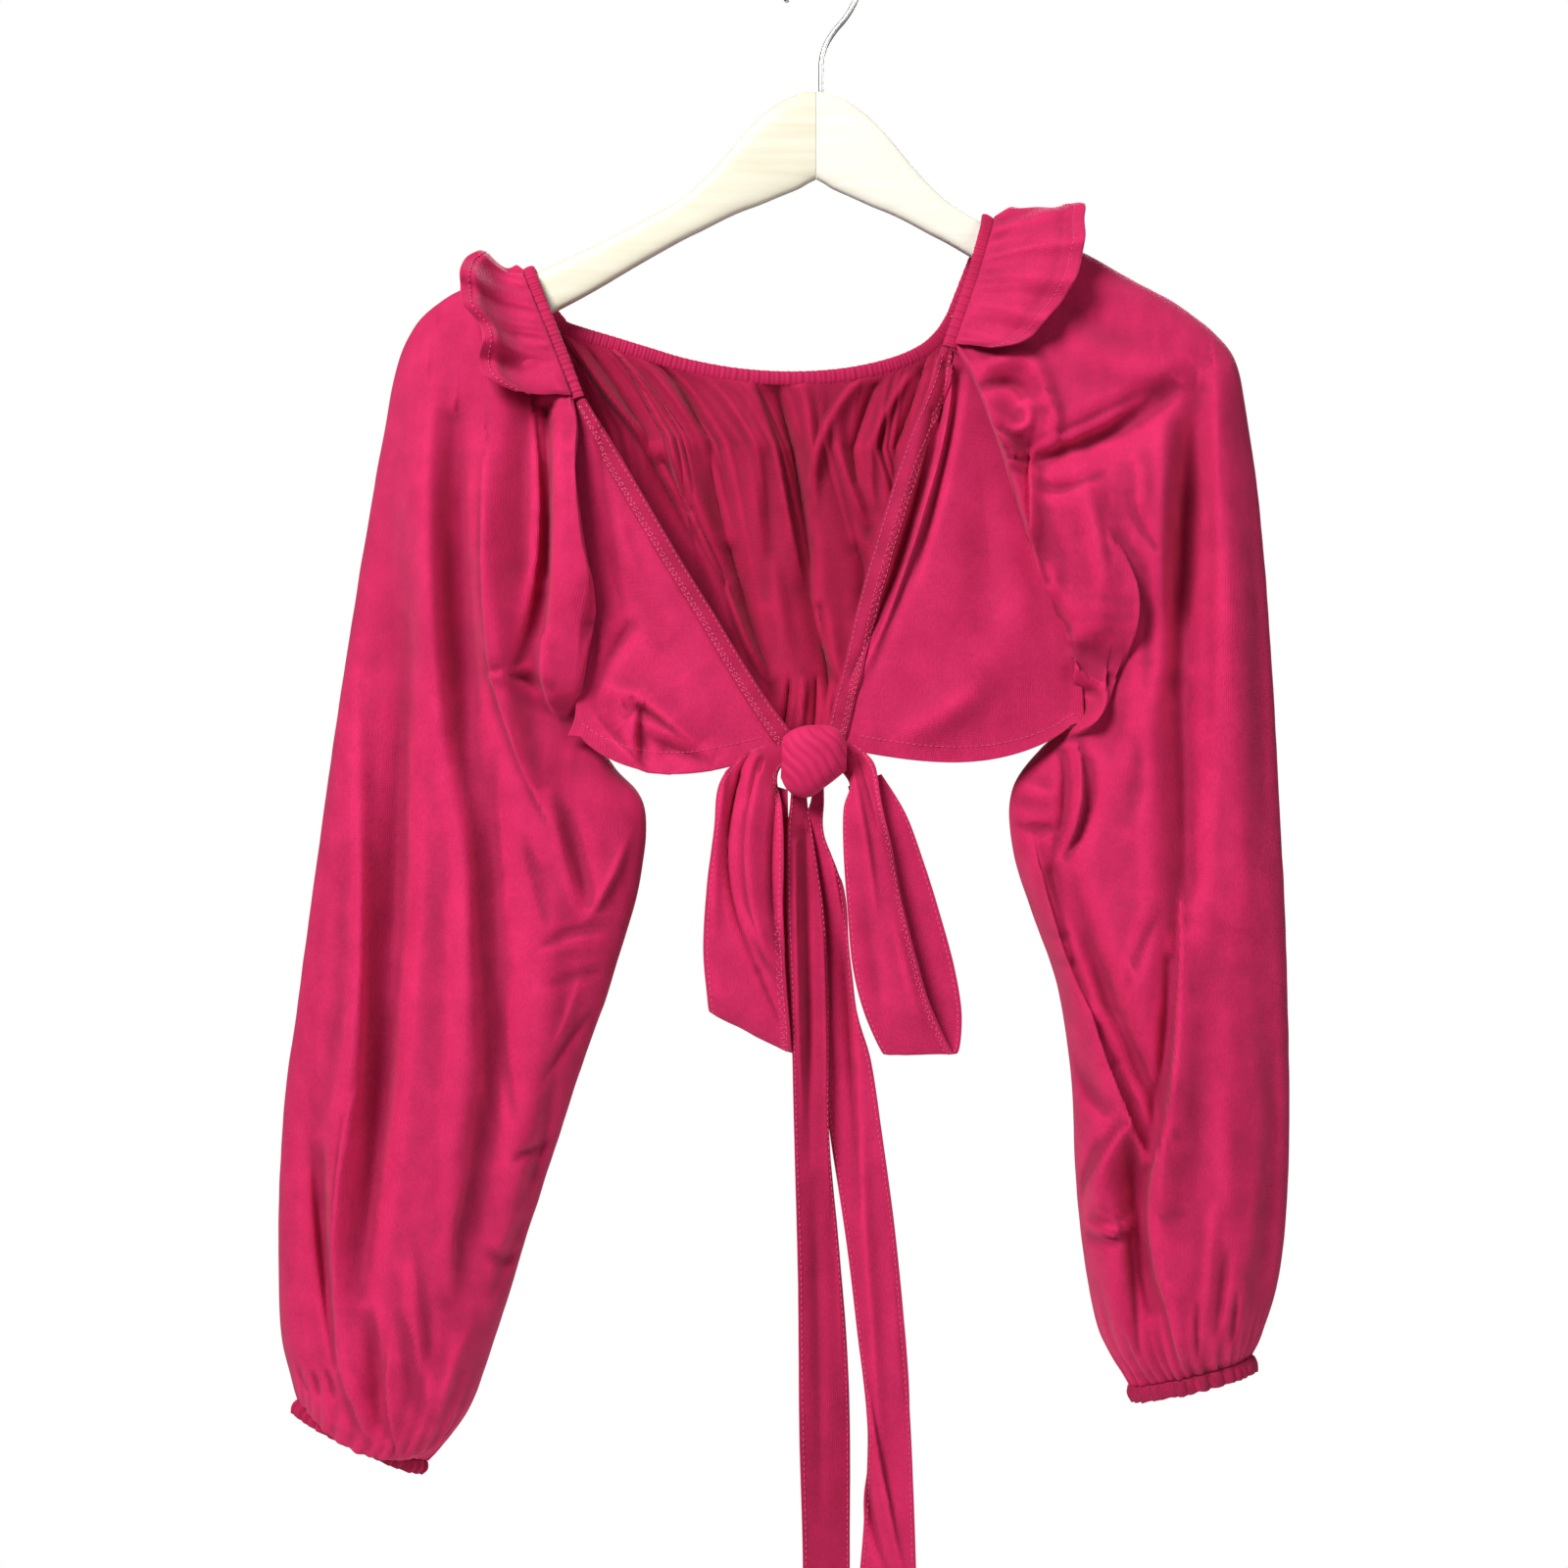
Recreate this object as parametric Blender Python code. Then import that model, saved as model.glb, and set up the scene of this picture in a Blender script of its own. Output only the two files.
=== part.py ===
"""Off-shoulder top on a wooden hanger.

Sizes are in millimetres in the tables and turned to metres at the mesh.
X runs to the viewer's right, Y away from the viewer and Z up.
The origin is the inner top of the hanger's hook, where a rail bears.
"""
import math

import bpy
import numpy as np

MM = 0.001
CLOTH = 1.2
SEAM_GAP = 0.4
BAND_WIDTH = 12.0
BAND_CLOTH = 1.0

CASING_WIDTH = 8.6
CASING_THICK = 3.2
RUFFLE_CLOTH = 1.0
RUFFLE_STAND = 2.7
CUFF_HEIGHT = 8.5
OVERHANG = (3.0, 8.0, 11.0, 0.0)
CUFF_THICK = 1.8

ARM_HALF_THICK = 6.0
JOINT_GAP = 0.3
JOINT_X = -3.0
RIGHT_DROOP = 0.035
WIRE_RADIUS = 1.65
HOOK_RADIUS = 22.0
WOOD_TOP = -82.6

SLEEVE_COLUMNS = 38
SLEEVE_ROWS = 23
BACK_COLUMNS = 54
BACK_ROWS = 9
FRONT_COLUMNS = 13
FRONT_ROWS = 15

RED = (0.560, 0.022, 0.105)
RED_DEEP = (0.520, 0.018, 0.092)
WOOD_LEFT = (0.900, 0.840, 0.640)
WOOD_RIGHT = (0.930, 0.880, 0.710)
WIRE = (0.720, 0.710, 0.680)


# Tables of the garment. Each row is one section or one fold.

# Sleeve sections from the neckline (first) to the cuff (last):
# front edge x, z, y; outer edge x, z; back edge x, z, y;
# front fullness, back fullness, how far out the fullness lies, roll of the edge.
LEFT_SLEEVE = (
    (-146, -268, -27, -177, -190, -158.5, -220, 17, 0, 0, 1.0, 0.0),
    (-138, -286, -30, -206, -195, -150, -245, 19, 3, 3, 1.0, 0.5),
    (-135, -310, -31, -229, -210, -142, -278, 21, 5, 5, 1.0, 1.0),
    (-132, -335, -32, -243, -228, -137, -308, 22, 7, 7, 1.0, 1.0),
    (-128, -360, -32, -251, -251, -134, -338, 22, 9, 9, 1.0, 1.0),
    (-123, -386, -32, -257, -283, -132, -368, 22, 11, 11, 1.1, 1.0),
    (-130, -413, -29, -264, -320, -132, -400, 20, 13, 12, 1.0, 0.7),
    (-138, -438, -20, -271, -360, -136, -428, 14, 18, 16, 1.0, 0.3),
    (-139, -456, -5, -278, -405, -139, -456, -5, 24, 20, 1.15, 0.0),
    (-122, -480, -4, -286, -455, -122, -480, -4, 27, 24, 1.25, 0.0),
    (-104, -505, -3, -294, -510, -104, -505, -3, 29, 27, 1.15, 0.0),
    (-107, -550, -2, -302, -568, -107, -550, -2, 28, 27, 1.0, 0.0),
    (-122, -602, -1, -309, -622, -122, -602, -1, 32, 31, 1.0, 0.0),
    (-140, -654, 0, -316, -672, -140, -654, 0, 34, 33, 1.0, 0.0),
    (-156, -702, 0, -320, -725, -156, -702, 0, 35, 34, 1.0, 0.0),
    (-172, -752, 0, -320, -776, -172, -752, 0, 34, 33, 1.0, 0.0),
    (-188, -803, 0, -318, -815, -188, -803, 0, 31, 30, 1.0, 0.0),
    (-208, -858, 0, -312, -839, -208, -858, 0, 24, 23, 1.0, 0.0),
    (-233, -889, 0, -308, -853, -233, -889, 0, 15, 15, 1.0, 0.0),
)
RIGHT_SLEEVE = (
    (80, -238, -27, 103, -161, 76, -231, 18, 0, 0, 1.0, 0.0),
    (86, -262, -30, 130, -166, 84, -258, 20, 3, 3, 1.0, 0.6),
    (93, -292, -31, 155, -178, 92, -288, 22, 5, 5, 1.0, 1.0),
    (102, -322, -32, 182, -194, 101, -318, 22, 7, 7, 1.0, 1.0),
    (113, -356, -32, 209, -209, 111, -348, 22, 9, 9, 1.0, 1.0),
    (127, -390, -31, 232, -226, 122, -378, 21, 11, 11, 1.1, 1.0),
    (139, -416, -27, 245, -247, 134, -405, 19, 13, 12, 1.0, 0.7),
    (146.5, -438, -15, 252, -285, 143, -430, 12, 18, 16, 1.0, 0.0),
    (146, -454, -4, 258, -330, 146, -454, -4, 24, 20, 1.15, 0.0),
    (129, -470, -4, 263, -385, 129, -470, -4, 27, 24, 1.25, 0.0),
    (112, -495, -3, 267, -440, 112, -495, -3, 29, 27, 1.15, 0.0),
    (113, -530, -2, 270, -500, 113, -530, -2, 28, 27, 1.0, 0.0),
    (124, -568, -1, 273, -560, 124, -568, -1, 32, 31, 1.0, 0.0),
    (139, -608, 0, 275, -620, 139, -608, 0, 34, 33, 1.0, 0.0),
    (147, -658, 0, 276, -680, 147, -658, 0, 35, 34, 1.0, 0.0),
    (149, -712, 0, 274, -738, 149, -712, 0, 34, 33, 1.0, 0.0),
    (154, -765, 0, 269, -782, 154, -765, 0, 31, 30, 1.0, 0.0),
    (164, -812, 0, 260, -813, 164, -812, 0, 25, 24, 1.0, 0.0),
    (183, -845, 0, 253, -828, 183, -845, 0, 15, 15, 1.0, 0.0),
)

# Folds: start x, z; middle x, z; end x, z; half width; height toward the
# viewer; skew (one side steeper); how much of it stands at its start.
LEFT_SLEEVE_FRONT_FOLDS = (
    (-146, -300, -143, -360, -150, -446, 12, 12, 0.0, 0.4),
    (-170, -262, -171, -340, -166, -430, 10, -15, 0.0, 0.9),
    (-194, -300, -184, -430, -160, -540, 13, 9, 0.4, 0.2),
    (-212, -282, -212, -420, -190, -560, 10, -11, -0.3, 0.3),
    (-228, -262, -224, -400, -206, -540, 13, 9, 0.2, 0.2),
    (-250, -300, -256, -440, -262, -560, 12, -5, 0.0, 0.1),
    (-270, -340, -284, -445, -298, -580, 13, 7, 0.0, 0.0),
    (-274, -450, -272, -620, -280, -820, 12, 8, 0.3, 0.0),
    (-248, -450, -254, -630, -272, -820, 11, -11, 0.2, 0.0),
    (-216, -480, -208, -630, -232, -830, 14, 9, 0.2, 0.0),
    (-190, -510, -190, -640, -212, -810, 11, -7, 0.0, 0.0),
    (-158, -550, -166, -660, -196, -810, 12, 6, 0.2, 0.0),
    (-297, -640, -294, -740, -290, -845, 9, -7, 0.0, 0.0),
)
LEFT_SLEEVE_BACK_FOLDS = (
    (-150, -262, -150, -340, -152, -430, 12, 11, 0.0, 0.6),
    (-172, -255, -174, -340, -172, -430, 10, -11, 0.0, 0.7),
    (-226, -255, -225, -400, -212, -520, 14, 8, 0.2, 0.2),
    (-200, -330, -194, -450, -172, -560, 12, -9, 0.2, 0.2),
    (-262, -380, -276, -520, -286, -660, 14, 7, 0.0, 0.0),
    (-250, -540, -262, -690, -282, -835, 12, -8, 0.2, 0.0),
    (-195, -560, -220, -700, -255, -850, 14, 8, 0.0, 0.0),
    (-150, -600, -180, -710, -228, -845, 11, -7, 0.0, 0.0),
)
RIGHT_SLEEVE_FRONT_FOLDS = (
    (92, -250, 104, -300, 120, -350, 10, 10, 0.0, 0.6),
    (126, -300, 127, -345, 128, -378, 9, -8, 0.0, 0.6),
    (122, -300, 165, -284, 216, -248, 11, -11, 0.3, 0.6),
    (142, -300, 160, -372, 150, -424, 12, 11, -0.2, 0.5),
    (130, -392, 148, -410, 166, -424, 8, -8, 0.0, 0.4),
    (168, -340, 176, -420, 160, -490, 11, -6, 0.2, 0.2),
    (224, -246, 212, -370, 210, -620, 12, -11, 0.3, 0.2),
    (241, -280, 242, -420, 246, -600, 13, 7, 0.0, 0.0),
    (190, -290, 188, -420, 182, -560, 14, 8, 0.0, 0.1),
    (116, -510, 150, -596, 199, -707, 11, 10, 0.5, 0.2),
    (140, -530, 176, -636, 206, -700, 10, -11, 0.4, 0.2),
    (212, -610, 199, -690, 197, -740, 8, 9, -0.6, 0.0),
    (182, -690, 186, -760, 202, -842, 11, -10, 0.0, 0.2),
    (226, -600, 238, -720, 236, -832, 14, 9, 0.0, 0.0),
    (256, -560, 262, -700, 250, -820, 11, -6, 0.0, 0.0),
    (160, -640, 166, -740, 188, -836, 11, 7, 0.0, 0.0),
)
RIGHT_SLEEVE_BACK_FOLDS = (
    (92, -262, 108, -320, 126, -380, 12, 11, 0.0, 0.6),
    (140, -290, 150, -360, 156, -430, 11, -11, 0.2, 0.5),
    (222, -260, 212, -380, 206, -560, 13, -9, 0.2, 0.2),
    (184, -320, 182, -430, 176, -540, 14, 8, 0.0, 0.1),
    (240, -360, 246, -480, 250, -620, 13, 7, 0.0, 0.0),
    (140, -560, 168, -660, 196, -790, 12, -8, 0.2, 0.0),
    (215, -600, 222, -710, 222, -825, 14, 8, 0.0, 0.0),
    (176, -640, 184, -730, 200, -830, 11, 7, 0.0, 0.0),
)

# Front panels from the casing (first) to the hem (last):
# side x, z, y; front edge x, z, y; sag of the row, swell toward the viewer.
LEFT_FRONT = (
    (-150, -270.5, -22.5, -137.6, -267, -26, 0, 0),
    (-146, -290, -23.5, -124, -289, -28, 0, 1),
    (-144, -312, -23.5, -110, -312, -28, 0, 2),
    (-141, -338, -23.5, -95, -338, -28, 0, 3),
    (-136, -364, -23.5, -78, -367, -28, 1, 4),
    (-132, -388, -23.5, -62, -393, -29, 2, 5),
    (-132, -413, -22.5, -47, -418, -31, 4, 6),
    (-136, -434, -20.0, -33, -440, -33, 7, 6),
    (-137, -452, -20.0, -22, -455, -34.6, 13, 3),
    (-140, -463, -23.0, -12, -468, -35.0, 20, 3),
)
RIGHT_FRONT = (
    (84, -241.5, -22.0, 69.7, -237, -26, 0, 0),
    (93, -262, -23.5, 62, -261, -28, 0, 1),
    (102, -292, -23.5, 49, -295, -28, 0, 2),
    (112, -322, -23.5, 39, -325, -28, 1, 3),
    (120, -356, -23.0, 29, -358, -28, 2, 4),
    (132, -388, -22.5, 20, -390, -29, 3, 5),
    (141, -414, -20.5, 13.5, -418, -31, 6, 6),
    (144, -434, -18.0, 8, -438, -33, 9, 6),
    (144.5, -447, -18.0, 4, -455, -34.8, 14, 5),
    (145, -456, -21.0, 0, -468, -35.4, 17, 4),
)
LEFT_FRONT_FOLDS = (
    (-120, -300, -104, -370, -70, -440, 9, -3, 0.2, 0.4),
    (-140, -300, -122, -390, -112, -470, 12, -4, 0.0, 0.2),
    (-112, -452, -100, -458, -62, -474, 8, 6, 0.4, 0.3),
    (-100, -440, -92, -466, -86, -484, 9, -5, 0.0, 0.0),
)
RIGHT_FRONT_FOLDS = (
    (74, -255, 54, -340, 22, -440, 8, -5, 0.3, 0.6),
    (66, -255, 44, -340, 17, -440, 6, 4, 0.0, 0.6),
    (120, -360, 90, -430, 40, -472, 16, 4, 0.0, 0.0),
    (92, -300, 96, -380, 110, -450, 13, -3, 0.0, 0.2),
)

# Back panel from the casing to the hem: left x, z, y; right x, z, y;
# dip of the row in its middle, belly away from the viewer.
BACK_PANEL = (
    (-152.5, -225, 17.5, 75, -226, 17.5, 25, 2),
    (-148.2, -245, 20.0, 82, -256, 20.0, 13, 3),
    (-141.2, -277, 21.5, 90.6, -288, 21.5, 6, 4),
    (-135.8, -308, 22.3, 99.8, -318, 22.3, 4, 4),
    (-132.8, -338, 22.3, 109.8, -348, 22.3, 3, 3),
    (-130.8, -368, 22.3, 120.8, -378, 21.3, 2, 1),
    (-130.8, -400, 20.3, 132.6, -405, 19.0, 0, -4),
    (-134.6, -428, 14.3, 141.4, -430, 13.0, 2, -8),
    (-137.0, -456, 5.5, 144.2, -453, 5.5, 10, -9),
)
BACK_GATHERS = 18
BACK_FOLDS = (
    (-88, -290, -58, -370, -30, -445, 9, 7, 0.2, 0.5),
    (-66, -255, -54, -350, -24, -445, 8, -6, 0.0, 0.6),
    (-36, -255, -34, -330, -12, -448, 8, 6, 0.2, 0.6),
    (-24, -255, -8, -350, 4, -445, 7, -7, 0.0, 0.6),
    (44, -255, 40, -340, 14, -445, 9, 6, -0.2, 0.6),
    (62, -260, 56, -350, 20, -445, 9, -6, 0.0, 0.4),
)

# Neck casing paths: x, z, y, and the outward direction there in x, y and z.
LEFT_CASING = (
    (-142, -267, -27, 0.0, -1.0, 0.0),
    (-150, -246, -24, 0.0, -1.0, 0.1),
    (-158, -226, -19.5, 0.0, -1.0, 0.2),
    (-166, -206, -14, -0.1, -1.0, 0.35),
    (-171, -193.5, -9.5, -0.3, -0.8, 0.6),
    (-173, -187.8, 0, -0.45, 0.0, 0.9),
    (-170, -193, 9.5, -0.3, 0.8, 0.6),
    (-163, -207, 13.5, -0.1, 1.0, 0.35),
    (-155, -217, 16, 0.0, 1.0, 0.2),
)
RIGHT_CASING = (
    (74, -237, -27, 0.0, -1.0, 0.0),
    (81, -217, -23.5, 0.0, -1.0, 0.1),
    (88, -197, -19, 0.0, -1.0, 0.2),
    (93, -180, -14, 0.1, -1.0, 0.35),
    (97, -165, -10.2, 0.3, -0.8, 0.6),
    (98.5, -157.4, 0, 0.5, 0.0, 0.87),
    (97, -166, 10.2, 0.3, 0.8, 0.6),
    (90, -184, 13.5, 0.1, 1.0, 0.35),
    (79, -212, 16.5, 0.0, 1.0, 0.2),
)
BACK_CASING = (
    (-153.4, -218.8, 16.5, 0.0, 1.0, 0.1),
    (-143, -222.5, 17.6, 0.0, 1.0, 0.1),
    (-124, -228, 19, 0.0, 1.0, 0.1),
    (-104, -234, 20, 0.0, 1.0, 0.1),
    (-80, -241, 20.5, 0.0, 1.0, 0.1),
    (-50, -246.5, 20.5, 0.0, 1.0, 0.1),
    (-18, -248.5, 20.5, 0.0, 1.0, 0.1),
    (14, -246.5, 20.5, 0.0, 1.0, 0.1),
    (42, -240.5, 20.5, 0.0, 1.0, 0.1),
    (61, -232.5, 19.5, 0.0, 1.0, 0.1),
    (72, -223, 17.8, 0.0, 1.0, 0.1),
    (78.7, -212.6, 16.6, 0.0, 1.0, 0.1),
)

# Ruffles: place along the casing (0 front, 1 back); free edge x, z, y.
# Each row is half a wave.
LEFT_RUFFLE = (
    (0.02, -176, -266, -42),
    (0.06, -192, -259, -49),
    (0.11, -197, -248, -42),
    (0.156, -194, -237, -50),
    (0.206, -197, -227, -42),
    (0.25, -206, -216, -48),
    (0.30, -208, -205, -38),
    (0.35, -208, -196, -40),
    (0.425, -206, -186, -26),
    (0.51, -200, -181, -18),
    (0.60, -199, -179, -4),
    (0.675, -206, -184, 12),
    (0.775, -208, -200, 32),
    (0.875, -203, -214, 36),
    (0.96, -196, -228, 42),
)
RIGHT_RUFFLE = (
    (0.02, 98, -240, -41),
    (0.06, 111, -239, -49),
    (0.11, 121, -233, -43),
    (0.156, 129, -224, -50),
    (0.206, 138, -213, -43),
    (0.25, 145, -201, -50),
    (0.30, 149, -188, -40),
    (0.35, 151, -176, -42),
    (0.425, 152, -163, -28),
    (0.51, 153, -153, -20),
    (0.60, 146, -151, -4),
    (0.675, 148, -160, 14),
    (0.775, 146, -176, 34),
    (0.875, 136, -196, 38),
    (0.96, 122, -214, 44),
)

# Bow loops along the tie: left edge x, z; right edge x, z; y.
LEFT_LOOP = (
    (-31, -468, -12, -472, -37.1),
    (-37, -470, -22, -479, -37.6),
    (-47, -475, -29.5, -490, -44.5),
    (-59, -491, -28, -506, -54),
    (-62, -518, -28, -532, -57),
    (-66, -550, -29, -562, -56),
    (-68, -584, -27, -598, -55.5),
    (-66, -610, -22, -630, -54),
    (-64.5, -621, -20, -645, -48.5),
    (-62, -613, -19, -634, -42),
    (-58, -580, -22, -590, -41),
    (-54, -545, -23, -550, -41),
    (-47, -508, -24, -515, -41),
    (-38, -489, -22, -494, -39),
)
RIGHT_LOOP = (
    (3, -475, 13, -466, -37.1),
    (10, -482, 22, -470, -37.8),
    (15.5, -492, 30, -481, -45.5),
    (12, -506, 34, -504, -54),
    (12, -530, 40, -530, -56),
    (14, -560, 46, -560, -56),
    (17, -594, 54, -592, -56),
    (24, -622, 62, -618, -55.5),
    (35, -645, 76, -645, -49),
    (34, -628, 80, -625, -42.5),
    (29, -600, 76, -597, -41.5),
    (25, -570, 68, -567, -41),
    (22, -542, 59, -538, -41),
    (19, -512, 48, -508, -41),
    (15, -492, 34, -485, -39),
)

# Tails: z; left x; right x; y; twist of the right edge toward the viewer.
LEFT_TAIL = (
    (-483, -17, -9, -38.2, 0),
    (-502, -18, -8.5, -38.5, 0),
    (-522, -20, -5, -45, 2),
    (-565, -20, 1, -46, 3),
    (-615, -18, 4, -45, -2),
    (-690, -16, 4, -44, 3),
    (-760, -14, 10, -44, -3),
    (-812, -13.5, 14, -44, 3),
    (-863, -13, 16, -44, -2),
    (-930, -11, 16, -44, 3),
    (-985, -11, 16, -44, 0),
)
RIGHT_TAIL = (
    (-482, -6, 1, -37.8, 0),
    (-500, -6.5, 1, -37.6, 0),
    (-520, -13, 1, -36, 2),
    (-552, -11, 12, -36, 3),
    (-616, -5, 19, -36, -2),
    (-650, 0, 28, -36, 2),
    (-690, 4, 34, -37, 3),
    (-748, 13, 42, -37, -3),
    (-805, 20, 47, -37, 2),
    (-861, 26, 51, -38, -3),
    (-916, 24, 53, -38, 4),
    (-955, 21, 54, -38, 4),
    (-990, 21, 54, -38, 0),
)

# Knot sections along x: top z, bottom z, half depth.
KNOT = (
    (-23.5, -464, -487, 5.5),
    (-19, -460, -494, 9.5),
    (-12, -457.5, -498, 11.5),
    (-5, -457, -498, 12.0),
    (2, -457.5, -493, 11.5),
    (8, -460, -488, 9.5),
    (13.5, -467, -483, 5.0),
)
KNOT_Y = -49.9
KNOT_PLEATS = 5

# Hanger half sections: distance from the joint, top z, bottom z.
HANGER = (
    (0.0, -82.8, -134),
    (5.0, -83.0, -136.5),
    (10.0, -84.2, -139.5),
    (21.0, -89.0, -144),
    (33.0, -98.0, -149),
    (44.0, -109.5, -153),
    (54.0, -121.5, -157.5),
    (66.0, -134.5, -163.6),
    (80.0, -146.5, -170.5),
    (105.7, -161.0, -185),
    (134.6, -175.5, -202),
    (164.6, -189.7, -217.5),
    (189.0, -201.0, -228),
    (207.0, -209.5, -233),
    (216.0, -215.5, -232),
    (220.0, -220.0, -228),
)


def clear_scene():
    for item in list(bpy.data.objects):
        bpy.data.objects.remove(item, do_unlink=True)


def spline(table, count):
    """Even steps along a smooth curve through the rows of a table."""
    rows = np.array(table, dtype=float)
    place = np.linspace(0, len(rows) - 1, count)
    index = np.clip(place.astype(int), 0, len(rows) - 2)
    part = (place - index)[:, None]
    before = rows[np.maximum(index - 1, 0)]
    start = rows[index]
    end = rows[index + 1]
    after = rows[np.minimum(index + 2, len(rows) - 1)]
    cubic = (3 * start - before - 3 * end + after) * part ** 3
    square = (2 * before - 5 * start + 4 * end - after) * part ** 2
    return 0.5 * (2 * start + (end - before) * part + square + cubic)


def fold_height(x, z, folds):
    """Height of all folds of a table at the points x, z."""
    total = np.zeros_like(x)
    for x1, z1, x2, z2, x3, z3, width, height, skew, start in folds:
        bend_x = 2 * x2 - 0.5 * (x1 + x3)
        bend_z = 2 * z2 - 0.5 * (z1 + z3)
        steps = np.linspace(0, 1, 11)
        line_x = (1 - steps) ** 2 * x1 + 2 * steps * (1 - steps) * bend_x + steps ** 2 * x3
        line_z = (1 - steps) ** 2 * z1 + 2 * steps * (1 - steps) * bend_z + steps ** 2 * z3
        nearest = np.full_like(x, 1e9)
        side = np.zeros_like(x)
        along = np.zeros_like(x)
        for i in range(10):
            dx = line_x[i + 1] - line_x[i]
            dz = line_z[i + 1] - line_z[i]
            length = math.hypot(dx, dz)
            local = ((x - line_x[i]) * dx + (z - line_z[i]) * dz) / length ** 2
            local = np.clip(local, 0, 1)
            off_x = x - line_x[i] - local * dx
            off_z = z - line_z[i] - local * dz
            distance = np.hypot(off_x, off_z)
            closer = distance < nearest
            nearest = np.where(closer, distance, nearest)
            sign = np.sign(off_x * dz - off_z * dx)
            side = np.where(closer, sign, side)
            along = np.where(closer, (i + local) / 10, along)
        reach = width * (1 + skew * side)
        shape = np.exp(-(nearest / reach) ** 2)
        fade = start + (1 - start) * np.clip(along / 0.35, 0, 1)
        fade = fade * np.clip((1 - along) / 0.35, 0, 1) ** 0.8
        total = total + height * fade * shape
    return total


def quads(rows, columns, names):
    """Faces of a grid, given the number of each vertex."""
    faces = []
    for i in range(rows - 1):
        for j in range(columns - 1):
            face = (names[i][j], names[i][j + 1], names[i + 1][j + 1], names[i + 1][j])
            faces.append(face)
    return faces


def normals_of(points, faces):
    total = np.zeros_like(points)
    for face in faces:
        corners = points[list(face)]
        cross = np.cross(corners[2] - corners[0], corners[3] - corners[1])
        for number in face:
            total[number] += cross
    length = np.linalg.norm(total, axis=1)
    return total / np.maximum(length, 1e-9)[:, None]


def rim_edges(faces):
    seen = {}
    for face in faces:
        for a, b in zip(face, face[1:] + face[:1]):
            key = (min(a, b), max(a, b))
            seen.setdefault(key, []).append((a, b))
    return [pair[0] for pair in seen.values() if len(pair) == 1]


def wall(points, faces, thick, lift=0.0):
    """A closed solid from a sheet: its outer face, inner face and rims."""
    directions = normals_of(points, faces)
    outer = points + directions * (lift + thick if lift else 0.0)
    inner = outer - directions * thick
    count = len(points)
    solid = list(faces)
    for a, b, c, d in faces:
        solid.append((a + count, d + count, c + count, b + count))
    for a, b in rim_edges(faces):
        solid.append((b, a, a + count, b + count))
    return np.vstack([outer, inner]), solid


def sheet(grid, closed_from=None):
    """Points and faces of a grid; rows from closed_from on are rings."""
    rows, columns = grid.shape[:2]
    points = []
    names = []
    for i in range(rows):
        ring = closed_from is not None and i >= closed_from
        line = []
        for j in range(columns):
            if ring and j == columns - 1:
                line.append(line[0])
                continue
            line.append(len(points))
            points.append(grid[i, j])
        names.append(line)
    return np.array(points), quads(rows, columns, names)


def add_object(name, points, faces, color, collection, roughness=0.8, metallic=0.0):
    split = []
    for face in faces:
        if len(face) == 4:
            split.append((face[0], face[1], face[2]))
            split.append((face[0], face[2], face[3]))
        else:
            split.append(face)
    mesh = bpy.data.meshes.new(name)
    mesh.from_pydata([tuple(p) for p in np.asarray(points) * MM], [], split)
    mesh.validate()
    mesh.update()
    for polygon in mesh.polygons:
        polygon.use_smooth = True
    item = bpy.data.objects.new(name, mesh)
    collection.objects.link(item)
    material = bpy.data.materials.new(name + "_material")
    material.use_nodes = True
    shader = material.node_tree.nodes["Principled BSDF"]
    shader.inputs["Base Color"].default_value = (*color, 1.0)
    shader.inputs["Roughness"].default_value = roughness
    shader.inputs["Metallic"].default_value = metallic
    material.diffuse_color = (*color, 1.0)
    mesh.materials.append(material)
    return item


def casing_frames(path, count):
    """Middle line of a casing with its outward and cross directions."""
    rows = spline(path, count)
    line = np.stack([rows[:, 0], rows[:, 2], rows[:, 1]], axis=1)
    out = rows[:, 3:6]
    along = np.gradient(line, axis=0)
    along = along / np.linalg.norm(along, axis=1)[:, None]
    out = out - along * np.sum(out * along, axis=1)[:, None]
    out = out / np.linalg.norm(out, axis=1)[:, None]
    cross = np.cross(along, out)
    return line, out, cross


def tube(line, out, cross, half_width, half_thick, sides, ripple=0.0):
    """A closed bar of oval section along a line, flat across its way."""
    count = len(line)
    points = []
    for i in range(count):
        swell = 1.0 + ripple * (1 if i % 2 else -1)
        for k in range(sides):
            angle = 2 * math.pi * k / sides
            wide = math.cos(angle)
            high = math.sin(angle)
            place = line[i] + cross[i] * half_width * wide
            place = place + out[i] * half_thick * swell * high
            points.append(place)
    faces = []
    for i in range(count - 1):
        for k in range(sides):
            n = (k + 1) % sides
            a = i * sides
            b = a + sides
            faces.append((a + k, b + k, b + n, a + n))
    first = tuple(range(sides))
    last = tuple((count - 1) * sides + k for k in reversed(range(sides)))
    faces.append(first)
    faces.append(last)
    return np.array(points), faces


def face_out(points, faces):
    """Turns all faces over when the solid is inside out."""
    volume = 0.0
    for face in faces:
        a = points[face[0]]
        for k in range(1, len(face) - 1):
            volume += np.dot(a, np.cross(points[face[k]], points[face[k + 1]]))
    if volume < 0:
        return [tuple(reversed(face)) for face in faces]
    return faces


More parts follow.
